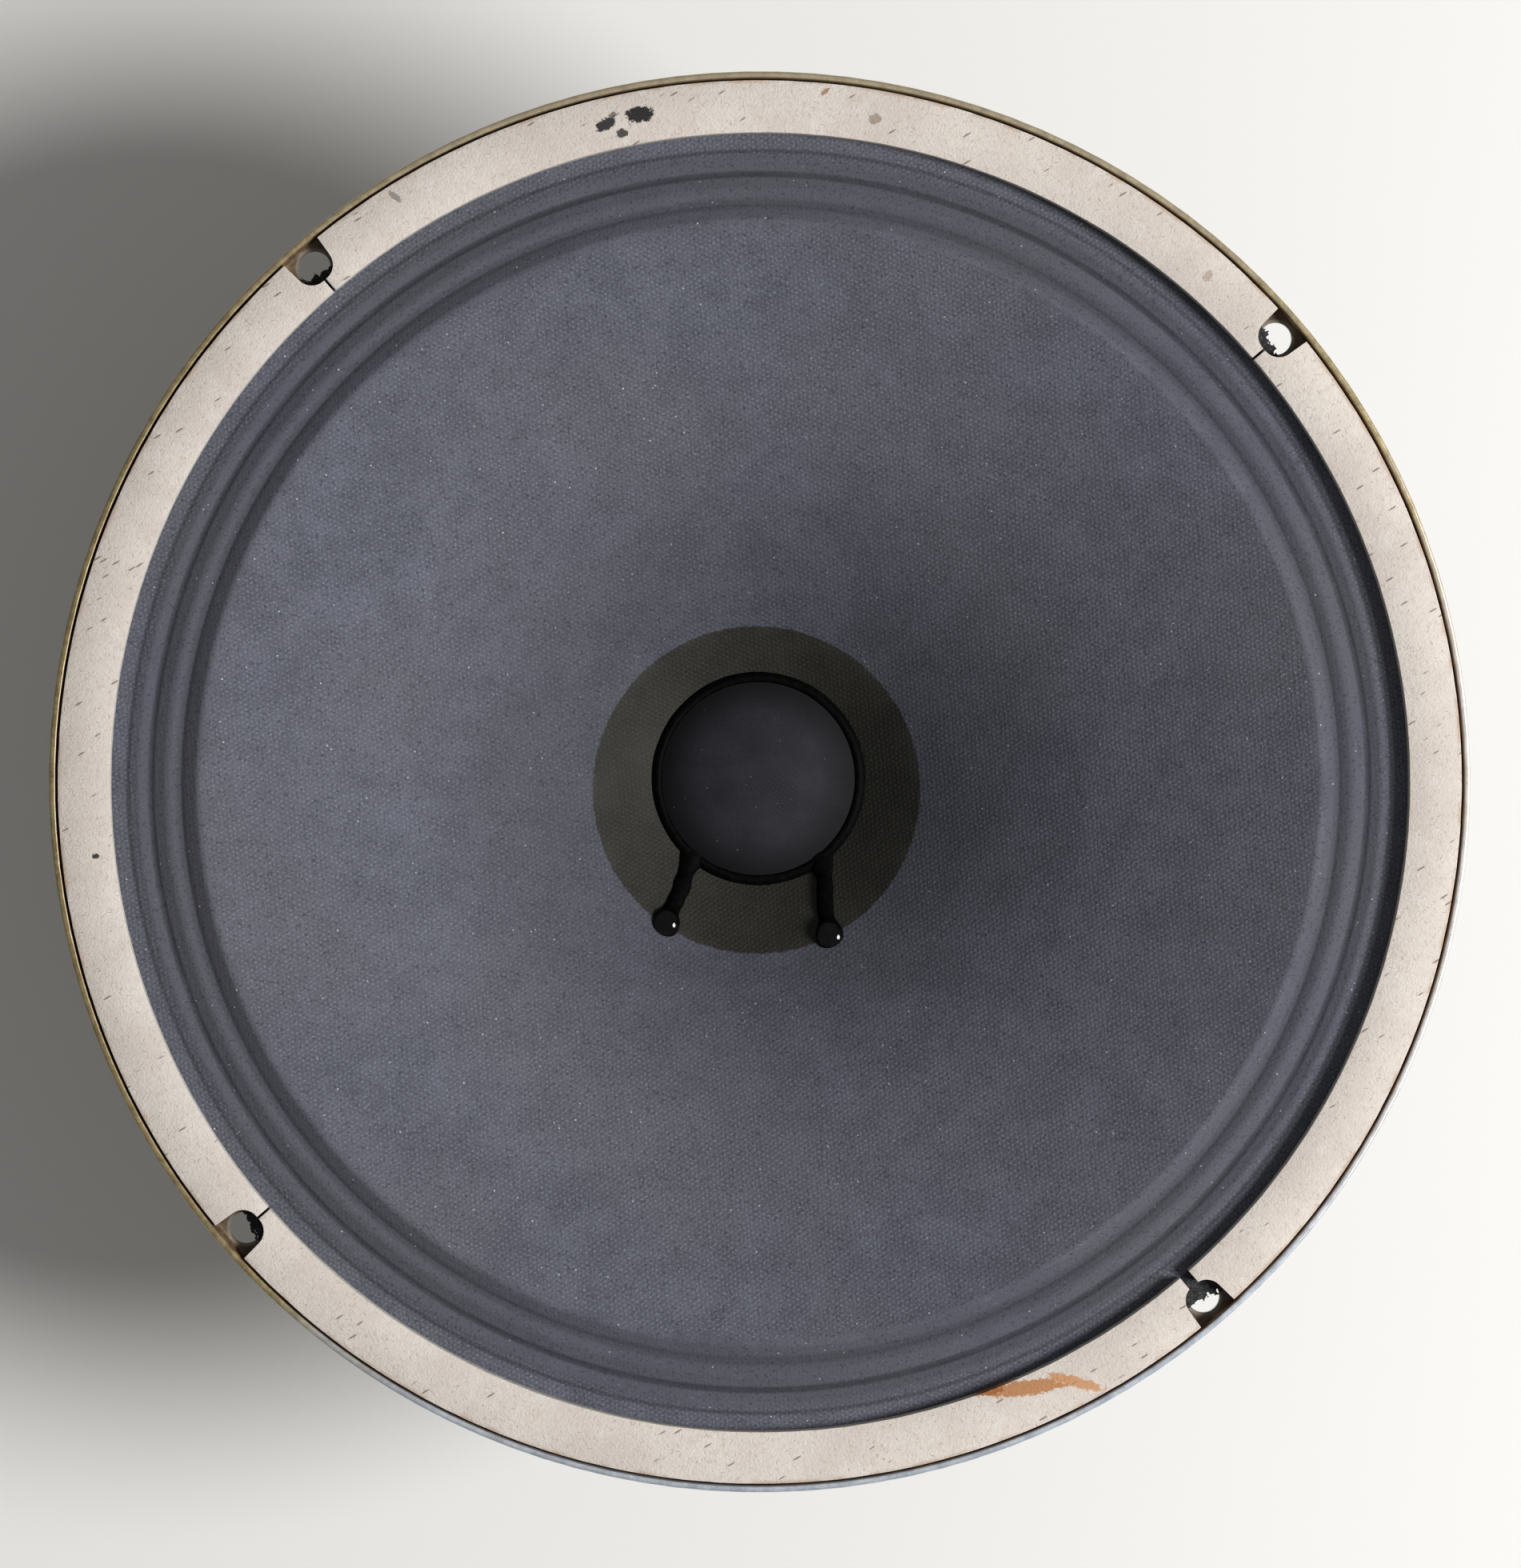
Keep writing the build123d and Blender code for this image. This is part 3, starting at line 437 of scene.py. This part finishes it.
def gasketArc(index):
    start = holes["first"] + 90 * index
    ends = (index, (index + 1) % holes["count"])
    firstGap, lastGap = (gasket["openJoint"] if i == gasket["openAt"] else gasket["joint"] for i in ends)
    turnIn, turnOut = (degrees(gap / 2 / gasket["innerR"]) for gap in (firstGap, lastGap))
    bm = bmesh.new()
    profile(bm, [(gasket["innerR"], gasket["bottom"]), (gasket["outerR"], gasket["bottom"]),
                 (gasket["outerR"], gasket["top"]), (gasket["innerR"], gasket["top"])], closed=True)
    bm.faces.new(bm.verts)
    bmesh.ops.rotate(bm, cent=(0, 0, 0), matrix=Matrix.Rotation(radians(start + turnIn), 3, "Z"),
                     verts=bm.verts)
    bmesh.ops.spin(bm, geom=bm.verts[:] + bm.edges[:] + bm.faces[:], cent=(0, 0, 0), axis=(0, 0, 1),
                   angle=radians(90 - turnIn - turnOut), steps=gasket["steps"])
    bmesh.ops.recalc_face_normals(bm, faces=bm.faces)
    edges = [e for e in bm.edges if e.calc_face_angle(0) > radians(60)]
    bmesh.ops.bevel(bm, geom=edges, offset=0.22 * mm, offset_type="OFFSET", affect="EDGES", segments=2,
                    profile=0.5, material=-1)
    piece = show(f"gasketBoard{index + 1}", bm, board, [f"gasket_segment_{index + 1}"])
    for turn in (start, start + 90):
        inner, outer = gasket["notchInnerR"], gasket["outerR"] + 4
        outline = ((inner, -gasket["waist"] / 2), (outer, -gasket["mouth"] / 2 - 0.4),
                   (outer, gasket["mouth"] / 2 + 0.4), (inner, gasket["waist"] / 2))
        cutter = boxCutter(outline, gasket["bottom"] - 1, gasket["top"] + 1, rounded=(0, 3),
                           radius=gasket["notchRound"])
        bmesh.ops.rotate(cutter, cent=(0, 0, 0), matrix=Matrix.Rotation(radians(turn), 3, "Z"),
                         verts=cutter.verts)
        cut(piece, cutter)
    bm = bmesh.new()
    bm.from_mesh(piece.data)
    for v in bm.verts:  # the board's cut edges are a little ragged
        r = hypot(v.co.x, v.co.y)
        edge = 1.0 if min(r - gasket["innerR"] * mm, gasket["outerR"] * mm - r) < 0.5 * mm else 0.0
        out = Vector((v.co.x, v.co.y, 0)).normalized()
        wobble = noise.noise(v.co * 190) + 0.6 * noise.noise(v.co * 620)
        v.co -= out * abs(wobble) * edge * gasket["wear"] * mm * (1 if r > 146 * mm else -1)
    bm.to_mesh(piece.data)
    bm.free()
    sharpen(piece, 32)
    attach(piece, "frame")


for index in range(holes["count"]):
    gasketArc(index)
print("gasket made")


# Torn paper that shows in the notches, over the inner part of each hole
rag = dict(inner=141.2, outer=149.6, halfWidth=4.6, cell=0.24, lift=0.15, paper=0.35, slant=0.25,
           held=142.5, reach=(146.4, 146.0, 146.6, 147.9))


def ragPiece(index):
    turn = radians(holes["first"] + 90 * index)
    bm = bmesh.new()
    spans = (rag["outer"] - rag["inner"], 2 * rag["halfWidth"])
    rows, columns = (int(span / rag["cell"]) for span in spans)
    bmesh.ops.create_grid(bm, x_segments=rows, y_segments=columns, size=0.5)
    bmesh.ops.scale(bm, vec=(spans[0] * mm, spans[1] * mm, 1), verts=bm.verts)
    place = ((rag["outer"] + rag["inner"]) / 2 * mm, 0, (gasket["bottom"] + rag["lift"]) * mm)
    bmesh.ops.translate(bm, vec=place, verts=bm.verts)
    seed = Vector((index * 3.7, 1.3, 0.4))
    gone = []
    for face in bm.faces:
        p = face.calc_center_median() / mm
        torn = noise.noise(p * 0.9 + seed) * 1.5 + noise.noise(p * 2.6 + seed) * 0.8
        if p.x > rag["reach"][index] + torn + p.y * rag["slant"]:
            gone.append(face)
    bmesh.ops.delete(bm, geom=gone, context="FACES")
    loose = [v for v in bm.verts if v.is_boundary]
    bmesh.ops.smooth_vert(bm, verts=loose, factor=0.5, use_axis_x=True, use_axis_y=True)
    for v in bm.verts:
        free = min(1, max(0, v.co.x / mm - rag["held"]))
        v.co.z += (noise.noise(v.co / mm * 0.8 + seed) * 0.35 + 0.2) * mm * free
    bmesh.ops.recalc_face_normals(bm, faces=bm.faces)
    bmesh.ops.solidify(bm, geom=bm.faces[:], thickness=rag["paper"] * mm)
    bmesh.ops.rotate(bm, cent=(0, 0, 0), matrix=Matrix.Rotation(turn, 3, "Z"), verts=bm.verts)
    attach(show(f"notchPaper{index + 1}", bm, ragFinish), "frame")


def tornPaperFinish():
    f = Finish("tornPaper")
    fibre = f.cloud(0.6 * mm, detail=5.0, rough=0.75)
    colour = f.mix(fibre.rise(0.45, 0.72), tone(30, 29, 30), tone(84, 84, 88))
    return f.shade({"Base Color": colour, "Roughness": 0.9, "Normal": f.bump(fibre, 0.4 * mm, 0.7)})


ragFinish = tornPaperFinish()
for index in range(holes["count"]):
    ragPiece(index)


# Dust cap's cement bead, a little uneven, as it was run round by hand
bead = dict(inner=21.7, outer=24.1, crest=23.0, swell=0.15)


def cementFinish():
    f = Finish("blackCement")
    wave = f.cloud(1.6 * mm, detail=3.0)
    blobX = trail["end"] * sin(radians(trail["endTurn"]))
    blobY = trail["end"] * cos(radians(trail["endTurn"]))
    fromBlob = ((f.x.size() - blobX * mm) ** 2.0 + (f.y + blobY * mm) ** 2.0) ** 0.5
    wet = fromBlob.fall(2.9 * mm, 3.9 * mm)
    colour = f.mix(wave.rise(0.4, 0.7), tone(3, 3, 3), tone(7, 7, 8))
    relief = f.bump(wave, 0.25 * mm, 0.35)
    rough = (1 - wet) * (wave * 0.25 + 0.4) + 0.07
    return f.shade({"Base Color": colour, "Roughness": rough, "Normal": relief, "Specular IOR Level": 0.03,
                    "Coat Weight": wet * 0.5, "Coat Roughness": 0.05})


# Cement over each coil lead, from the bead to a blob on its eyelet
trail = dict(start=23.6, end=38.7, startTurn={"left": 36.0, "right": 42.0}, endTurn=28.5, width=2.0,
             blob=3.2, flat=0.55, steps=30, voxel=0.16, sway=0.35, lift=0.3, swellFrom=0.76, swellOver=0.2)
cement = cementFinish()


def capBead():
    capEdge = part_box("dust_cap")[0].z / mm
    bm = bmesh.new()
    low = overCone(bead["outer"], 0.03)
    profile(bm, [(bead["inner"], capEdge + 1.15), (22.3, capEdge + 1.55), (bead["crest"], capEdge + 1.65),
                 (23.5, capEdge + 1.25), (23.85, capEdge + 0.95), (bead["outer"], low),
                 (bead["outer"] - 0.4, low - 0.7), (22.6, capEdge - 0.1)], closed=True)
    spun(bm, steps=240)
    for v in bm.verts:
        out = Vector((v.co.x, v.co.y, 0)).normalized()
        knock = noise.noise(v.co * 160) + 0.5 * noise.noise(v.co * 420)
        v.co += (out * 0.6 + Vector((0, 0, 0.5))) * knock * bead["swell"] * mm
    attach(show("capCementBead", bm, cement, ["dust_cap_bead"]), "cone_assembly")


capBead()


def leadCement(side, sign):
    bm = bmesh.new()
    first, last = (radians(-90 + sign * turn) for turn in (trail["startTurn"][side], trail["endTurn"]))
    a = Vector((trail["start"] * cos(first), trail["start"] * sin(first)))
    b = Vector((trail["end"] * cos(last), trail["end"] * sin(last)))
    across = Vector((-(b - a).y, (b - a).x)).normalized()
    for step in range(trail["steps"] + 1):
        t = step / trail["steps"]
        sway = trail["sway"] * sin(t * 5.2 + sign) * t * (1 - t) * 4
        p = a.lerp(b, t) + across * sway
        flare = max(0.0, 1 - t * 5) * 1.1
        thin = trail["width"] * (1 + 0.16 * noise.noise(Vector((t * 6, sign * 4, 0)))) + flare
        full = min(1.0, max(0.0, (t - trail["swellFrom"]) / trail["swellOver"])) ** 2
        r = thin + (trail["blob"] - thin) * full
        height = 0.8 + 0.2 * full
        z = overCone(p.length) + trail["lift"] * full
        place = Matrix.Translation(Vector((p.x, p.y, z)) * mm)
        squash = Matrix.Diagonal((1, 1, trail["flat"] * height, 1))
        bmesh.ops.create_icosphere(bm, subdivisions=3, radius=r * mm, matrix=place @ squash)
    piece = show(f"leadCement{side.capitalize()}", bm, cement,
                 [f"lead_dressing_{side}", f"lead_eyelet_{side}"])
    melt = piece.modifiers.new("melt", "REMESH")
    melt.mode, melt.voxel_size = "VOXEL", trail["voxel"] * mm
    even = piece.modifiers.new("even", "SMOOTH")
    even.factor, even.iterations = 0.5, 8
    done = bpy.data.meshes.new_from_object(piece.evaluated_get(bpy.context.evaluated_depsgraph_get()))
    piece.modifiers.clear()
    piece.data = done
    done.shade_smooth()
    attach(piece, "cone_assembly")


for side, sign in (("left", -1), ("right", 1)):
    leadCement(side, sign)
print("cement made")


def nodeCopy(node, name, material):  # a merged copy of a CAD node's mesh
    bm = bmesh.new()
    bm.from_mesh(nodes[node].data)
    bmesh.ops.remove_doubles(bm, verts=bm.verts, dist=1e-6)
    piece = show(name, bm, material, [node])
    sharpen(piece, 40)
    return piece


# Spider: pitch of the threads, and the outer and inner radius handed to bendByRadius, which leaves the
# cloth as it is
weave = dict(thread=0.7, still=54.0, moving=19.9)


def clothFinish():
    f = Finish("spiderCloth")
    warp, weft = ((axis * (2 * pi / (weave["thread"] * mm))).sine() for axis in (f.x, f.y))
    threads = warp * weft * 0.5 + 0.5
    varnish = f.cloud(8 * mm, detail=4.0)
    colour = f.mix(varnish.rise(0.3, 0.7), tone(150, 118, 74), tone(182, 148, 98))
    colour = f.mix(threads.rise(0.2, 0.9) * 0.4, colour, tone(104, 78, 48))
    return f.shade({"Base Color": colour, "Roughness": 0.5 + varnish * 0.3,
                    "Normal": f.bump(threads, 0.15 * mm, 0.6)})


def braidFinish():
    f = Finish("tinselBraid")
    strand = f.cells(0.45 * mm, random=0.6)
    colour = f.mix(strand.rise(0.2, 0.6), tone(150, 96, 58), tone(86, 56, 38))
    return f.shade({"Base Color": colour, "Roughness": 0.42 + strand * 0.3, "Metallic": 0.35,
                    "Normal": f.bump(strand, 0.15 * mm, 0.8)})


spider = nodeCopy("spider", "spiderCloth", clothFinish())
bendByRadius(spider, still=weave["still"], moving=weave["moving"])
braid = braidFinish()
for side in ("left", "right"):
    lead = nodeCopy(f"tinsel_lead_{side}", f"tinselLead{side.capitalize()}", braid)
    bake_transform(lead)


def metal(name, light, dark, rough, relief, pitch):
    f = Finish(name)
    streak = f.cloud(pitch * mm, detail=4.0, rough=0.65)
    patch = f.cloud(14 * mm, detail=4.0)
    colour = f.mix(streak.rise(0.35, 0.7), dark, light)
    colour = f.mix(patch.rise(0.48, 0.72) * 0.35, colour, tone(92, 82, 66))
    return f.shade({"Base Color": colour, "Roughness": streak * 0.2 + rough, "Metallic": 1.0,
                    "Normal": f.bump(streak, relief * mm, 0.5)})


# Basket: radius of the lip's inner face, and the heights between which the bowl ends and the lip begins
lip = dict(inner=152.6, low=124, high=130)


def basketFinish():
    f = Finish("basketSteel")
    r = f.radius()
    onLip = f.z.rise(lip["low"] * mm, lip["high"] * mm)
    turnX = f.x / (r + 1e-6)
    turnY = f.y / (r + 1e-6)
    cloudy = f.cloud(30 * mm, detail=4.0)
    fine = f.cloud(2.2 * mm, detail=5.0, rough=0.7)
    brushed = f.cloud(3 * mm, detail=4.0, rough=0.7, place=f.scaled(f.place, (1, 1, 5)))
    zincAndReflection = f.mix(brushed.rise(0.3, 0.7), tone(166, 173, 183), tone(204, 210, 218))
    gold = f.mix(fine.rise(0.35, 0.65), tone(138, 121, 84), tone(176, 160, 118))
    # the lacquer is gold on the left and at the top, and pale bluish at the right and below: partly worn
    # zinc, partly a painted reflection of the light
    side = turnX * 0.62 - turnY * 0.78 + (cloudy - 0.5) * 0.9
    colour = f.mix(side.rise(0.12, 0.62) * onLip, gold, zincAndReflection)
    # painted light: the lip is lighter at the top, darker on the left, with a painted highlight at the
    # right facing the lamp
    colour = f.mix(turnY.rise(0.55, 0.95) * onLip * 0.45, colour, tone(196, 184, 164))
    colour = f.mix(turnX.fall(-0.95, -0.6) * onLip * 0.3, colour, tone(92, 76, 52))
    colour = f.mix(turnX.rise(0.75, 0.98) * onLip * 0.4, colour, tone(206, 184, 156))
    low = f.cloud(45 * mm, detail=3.0).rise(0.42, 0.66) * (1 - onLip) * 0.55
    colour = f.mix(low, colour, tone(166, 160, 140))
    scratch = f.cells(1.6 * mm, place=f.scaled(f.place, (1, 1, 0.2)))
    worn = scratch.fall(0.04, 0.10) * r.rise(lip["inner"] * mm, (lip["inner"] + 0.6) * mm)
    colour = f.mix(worn * 0.8, colour, tone(222, 220, 208))
    # painted shade and brown reflection on the lip's inner face, in the gap beside the gasket
    inner = r.fall((lip["inner"] - 0.1) * mm, (lip["inner"] + 0.3) * mm) * f.z.rise(129.5 * mm, 130.2 * mm)
    colour = f.mix(inner * 0.7, colour, tone(96, 74, 48))
    # round the mounting holes the floor is brown with old lacquer, with a paler worn ring
    holeX = f.x.size() - holes["circle"] * cos(radians(holes["first"])) * mm
    holeY = f.y.size() - holes["circle"] * sin(radians(holes["first"])) * mm
    nearHole = (holeX**2.0 + holeY**2.0) ** 0.5
    floor = nearHole.fall(2 * holes["r"] * mm, (2 * holes["r"] + 2) * mm) * f.z.rise(128 * mm, 128.7 * mm)
    floor = floor * r.fall(lip["inner"] * mm, (lip["inner"] + 0.4) * mm)
    brown = f.mix(fine.rise(0.4, 0.65), tone(74, 54, 36), tone(112, 88, 60))
    colour = f.mix(floor * 0.92, colour, brown)
    washer = nearHole.rise((holes["r"] - 0.1) * mm, (holes["r"] + 0.1) * mm)
    washer = washer * nearHole.fall((holes["r"] + 0.5) * mm, (holes["r"] + 0.8) * mm) * floor
    colour = f.mix(washer * 0.55, colour, tone(138, 134, 124))
    rust = f.cloud(6 * mm, detail=5.0, rough=0.7).rise(0.63, 0.70) * f.cloud(38 * mm).rise(0.52, 0.62)
    colour = f.mix(rust * 0.75, colour, tone(112, 66, 34))
    rough = fine * 0.22 + 0.30 + floor * 0.2 + rust * 0.35
    return f.shade({"Base Color": colour, "Roughness": rough, "Metallic": 0.6 - rust * 0.5 - floor * 0.4,
                    "Normal": f.bump(fine, 0.12 * mm, 0.35, under=f.bump(cloudy, 1.2 * mm, 0.15)),
                    "Coat Weight": 0.25, "Coat Roughness": 0.25})


# Cap: a rubbed patch with crossed lines, and painted shade darkening it towards its edge
rubbedSpot = dict(x=6, y=-3, full=3, none=13, line=0.9)
capEdgeShade = dict(none=13, full=21.5)


def capFinish():
    f = Finish("capPaper")
    felt = f.cloud(0.55 * mm, detail=4.0, rough=0.7)
    shade = f.cloud(12 * mm, detail=4.0)
    lines, crossed = (f.ripples(along, rubbedSpot["line"] * mm).rise(0.55, 0.95)
                      for along in (f.x * 0.5 + f.y * 0.87, f.x * 0.87 - f.y * 0.5))
    patch = f.radius(rubbedSpot["x"] * mm, rubbedSpot["y"] * mm)
    patch = patch.fall(rubbedSpot["full"] * mm, rubbedSpot["none"] * mm)
    rubbed = patch * (lines + crossed) * felt.rise(0.3, 0.7) * 0.5
    colour = f.mix(shade.rise(0.3, 0.7), tone(32, 32, 37), tone(40, 40, 46))
    colour = f.mix(felt.rise(0.45, 0.7) * 0.5, colour, tone(24, 24, 28))
    colour = f.mix(rubbed * 0.16, colour, tone(86, 86, 90))
    # painted shade: the cap darkens towards its edge
    capEdgeShaded = f.radius().rise(capEdgeShade["none"] * mm, capEdgeShade["full"] * mm)
    colour = f.mix(capEdgeShaded * 0.85, colour, tone(10, 10, 11))
    specks = f.cells(2.2 * mm).fall(0.04, 0.08) * felt.rise(0.5, 0.6)
    colour = f.mix(specks * 0.6, colour, tone(140, 140, 144))
    return f.shade({"Base Color": colour, "Roughness": 0.82 - shade * 0.1, "Specular IOR Level": 0.14,
                    "Normal": f.bump(felt, 0.1 * mm, 0.4)})


def plainFinish(name, light, dark, pitch, rough, relief, metallic=0.0):
    f = Finish(name)
    grain = f.cloud(pitch * mm, detail=5.0, rough=0.65)
    patch = f.cloud(pitch * 9 * mm, detail=3.0)
    colour = f.mix(grain.rise(0.3, 0.7), dark, light)
    colour = f.mix(patch.rise(0.45, 0.7) * 0.3, colour, dark)
    return f.shade({"Base Color": colour, "Roughness": grain * 0.2 + rough, "Metallic": metallic,
                    "Normal": f.bump(grain, relief * mm, 0.5)})


def laminateFinish():
    f = Finish("boardLaminate")
    fibre = f.cloud(1.0 * mm, detail=4.0, place=f.scaled(f.place, (0.3, 1.6, 1.6)))
    colour = f.mix(fibre.rise(0.3, 0.7), tone(96, 58, 34), tone(132, 84, 50))
    return f.shade({"Base Color": colour, "Roughness": fibre * 0.2 + 0.38,
                    "Normal": f.bump(fibre, 0.08 * mm, 0.4)})


def coilFinish():
    f = Finish("coilWire")
    turns = f.ripples(f.z, 0.3 * mm)
    colour = f.mix(turns, tone(96, 44, 24), tone(176, 96, 56))
    return f.shade({"Base Color": colour, "Roughness": 0.3 + turns * 0.1, "Metallic": 0.8,
                    "Normal": f.bump(turns, 0.1 * mm, 0.8)})


def turnedFinish():  # fine rings of the lathe
    f = Finish("turnedPlate")
    r = f.radius()
    rings = ((r * (2 * pi / (0.5 * mm))) + f.cloud(6 * mm) * 3.0).sine() * 0.5 + 0.5
    patch = f.cloud(11 * mm, detail=4.0)
    colour = f.mix(rings, tone(150, 150, 146), tone(176, 174, 168))
    colour = f.mix(patch.rise(0.45, 0.7) * 0.4, colour, tone(122, 112, 92))
    return f.shade({"Base Color": colour, "Roughness": 0.34 + patch * 0.2, "Metallic": 0.9,
                    "Normal": f.bump(rings, 0.04 * mm, 0.4)})


finishes = {
    basketFinish(): ["basket_rim", "basket_legs", "basket_cup"],
    capFinish(): ["dust_cap"],
    turnedFinish(): ["top_plate", "pole_piece"],
    plainFinish("magnetAlloy", tone(112, 112, 114), tone(78, 78, 80), 1.4, 0.5, 0.3, metallic=0.6):
        ["magnet_slug"],
    plainFinish("potPaint", tone(44, 45, 47), tone(30, 31, 33), 1.2, 0.34, 0.10): ["magnet_pot"],
    metal("screwSteel", tone(178, 176, 168), tone(140, 138, 130), 0.3, 0.05, 0.8):
        ["centre_bolt", "basket_screws"],
    metal("dullBrass", tone(176, 148, 92), tone(138, 112, 66), 0.34, 0.05, 0.9):
        ["board_rivets", "lug_rivets"],
    metal("tinnedBrass", tone(190, 184, 166), tone(160, 150, 124), 0.28, 0.04, 0.8):
        ["solder_lug_left", "solder_lug_right"],
    laminateFinish(): ["terminal_board"],
    plainFinish("ringCard", tone(128, 104, 76), tone(98, 78, 56), 0.9, 0.8, 0.2):
        ["spider_clamp_ring"],
    plainFinish("formerPaper", tone(156, 126, 84), tone(122, 96, 62), 0.7, 0.6, 0.1):
        ["voice_coil_former"],
    coilFinish(): ["voice_coil_winding"],
    cement: ["neck_cement"],
}
for material, names in finishes.items():
    for name in names:
        nodes[name].data.materials.clear()
        nodes[name].data.materials.append(material)
print("finishes given")


# Floor, lights and camera
studio = dict(floorSize=12.0, floorTones=(tone(226, 225, 222), tone(222, 221, 218)), cameraUp=1.25,
              field=0.3393, sensor=36.0, aside=(-0.014, 0.028), keyPlace=(1.72, -0.04, 1.72),
              keyAim=(0, 0, 0.12), keySize=0.85, keyPower=78.0, sky=0.23)


def floorFinish():
    f = Finish("studioFloor")
    soft = f.cloud(0.4, detail=2.0)
    colour = f.mix(soft, *studio["floorTones"])
    return f.shade({"Base Color": colour, "Roughness": 0.8})


def makeStudio():
    bm = bmesh.new()
    bmesh.ops.create_grid(bm, x_segments=1, y_segments=1, size=studio["floorSize"] / 2)
    mesh = bpy.data.meshes.new("studioFloor")
    bm.to_mesh(mesh)
    bm.free()
    floor = bpy.data.objects.new("studioFloor", mesh)
    mesh.materials.append(floorFinish())
    bpy.context.scene.collection.objects.link(floor)
    world = bpy.data.worlds.new("studioSky")
    world.use_nodes = True
    sky = world.node_tree.nodes["Background"]
    sky.inputs["Color"].default_value = (1, 1, 1, 1)
    sky.inputs["Strength"].default_value = studio["sky"]
    bpy.context.scene.world = world
    key = bpy.data.lights.new("keyLight", "AREA")
    key.shape, key.size, key.energy = "DISK", studio["keySize"], studio["keyPower"]
    lamp = bpy.data.objects.new("keyLight", key)
    lamp.location = studio["keyPlace"]
    beam = Vector(studio["keyAim"]) - Vector(studio["keyPlace"])
    lamp.rotation_euler = beam.to_track_quat("-Z", "Y").to_euler()
    bpy.context.scene.collection.objects.link(lamp)
    lens = bpy.data.cameras.new("camera")
    lens.sensor_width = studio["sensor"]
    lens.lens = lens.sensor_width * studio["cameraUp"] / studio["field"]
    lens.clip_start, lens.clip_end = 0.05, 50.0
    camera = bpy.data.objects.new("camera", lens)
    aim = Vector((0, 0, gasket["top"] * mm))
    camera.location = aim + Vector((*studio["aside"], studio["cameraUp"]))
    lean = (aim - camera.location).to_track_quat("-Z", "Y").to_matrix()
    top = lean.inverted() @ Vector((-sin(view["roll"]), cos(view["roll"]), 0))
    camera.rotation_euler = (lean @ Matrix.Rotation(atan2(-top.x, top.y), 3, "Z")).to_euler()
    bpy.context.scene.collection.objects.link(camera)
    bpy.context.scene.camera = camera
    bpy.context.scene.view_settings.view_transform = "Standard"


makeStudio()
print("studio ready")
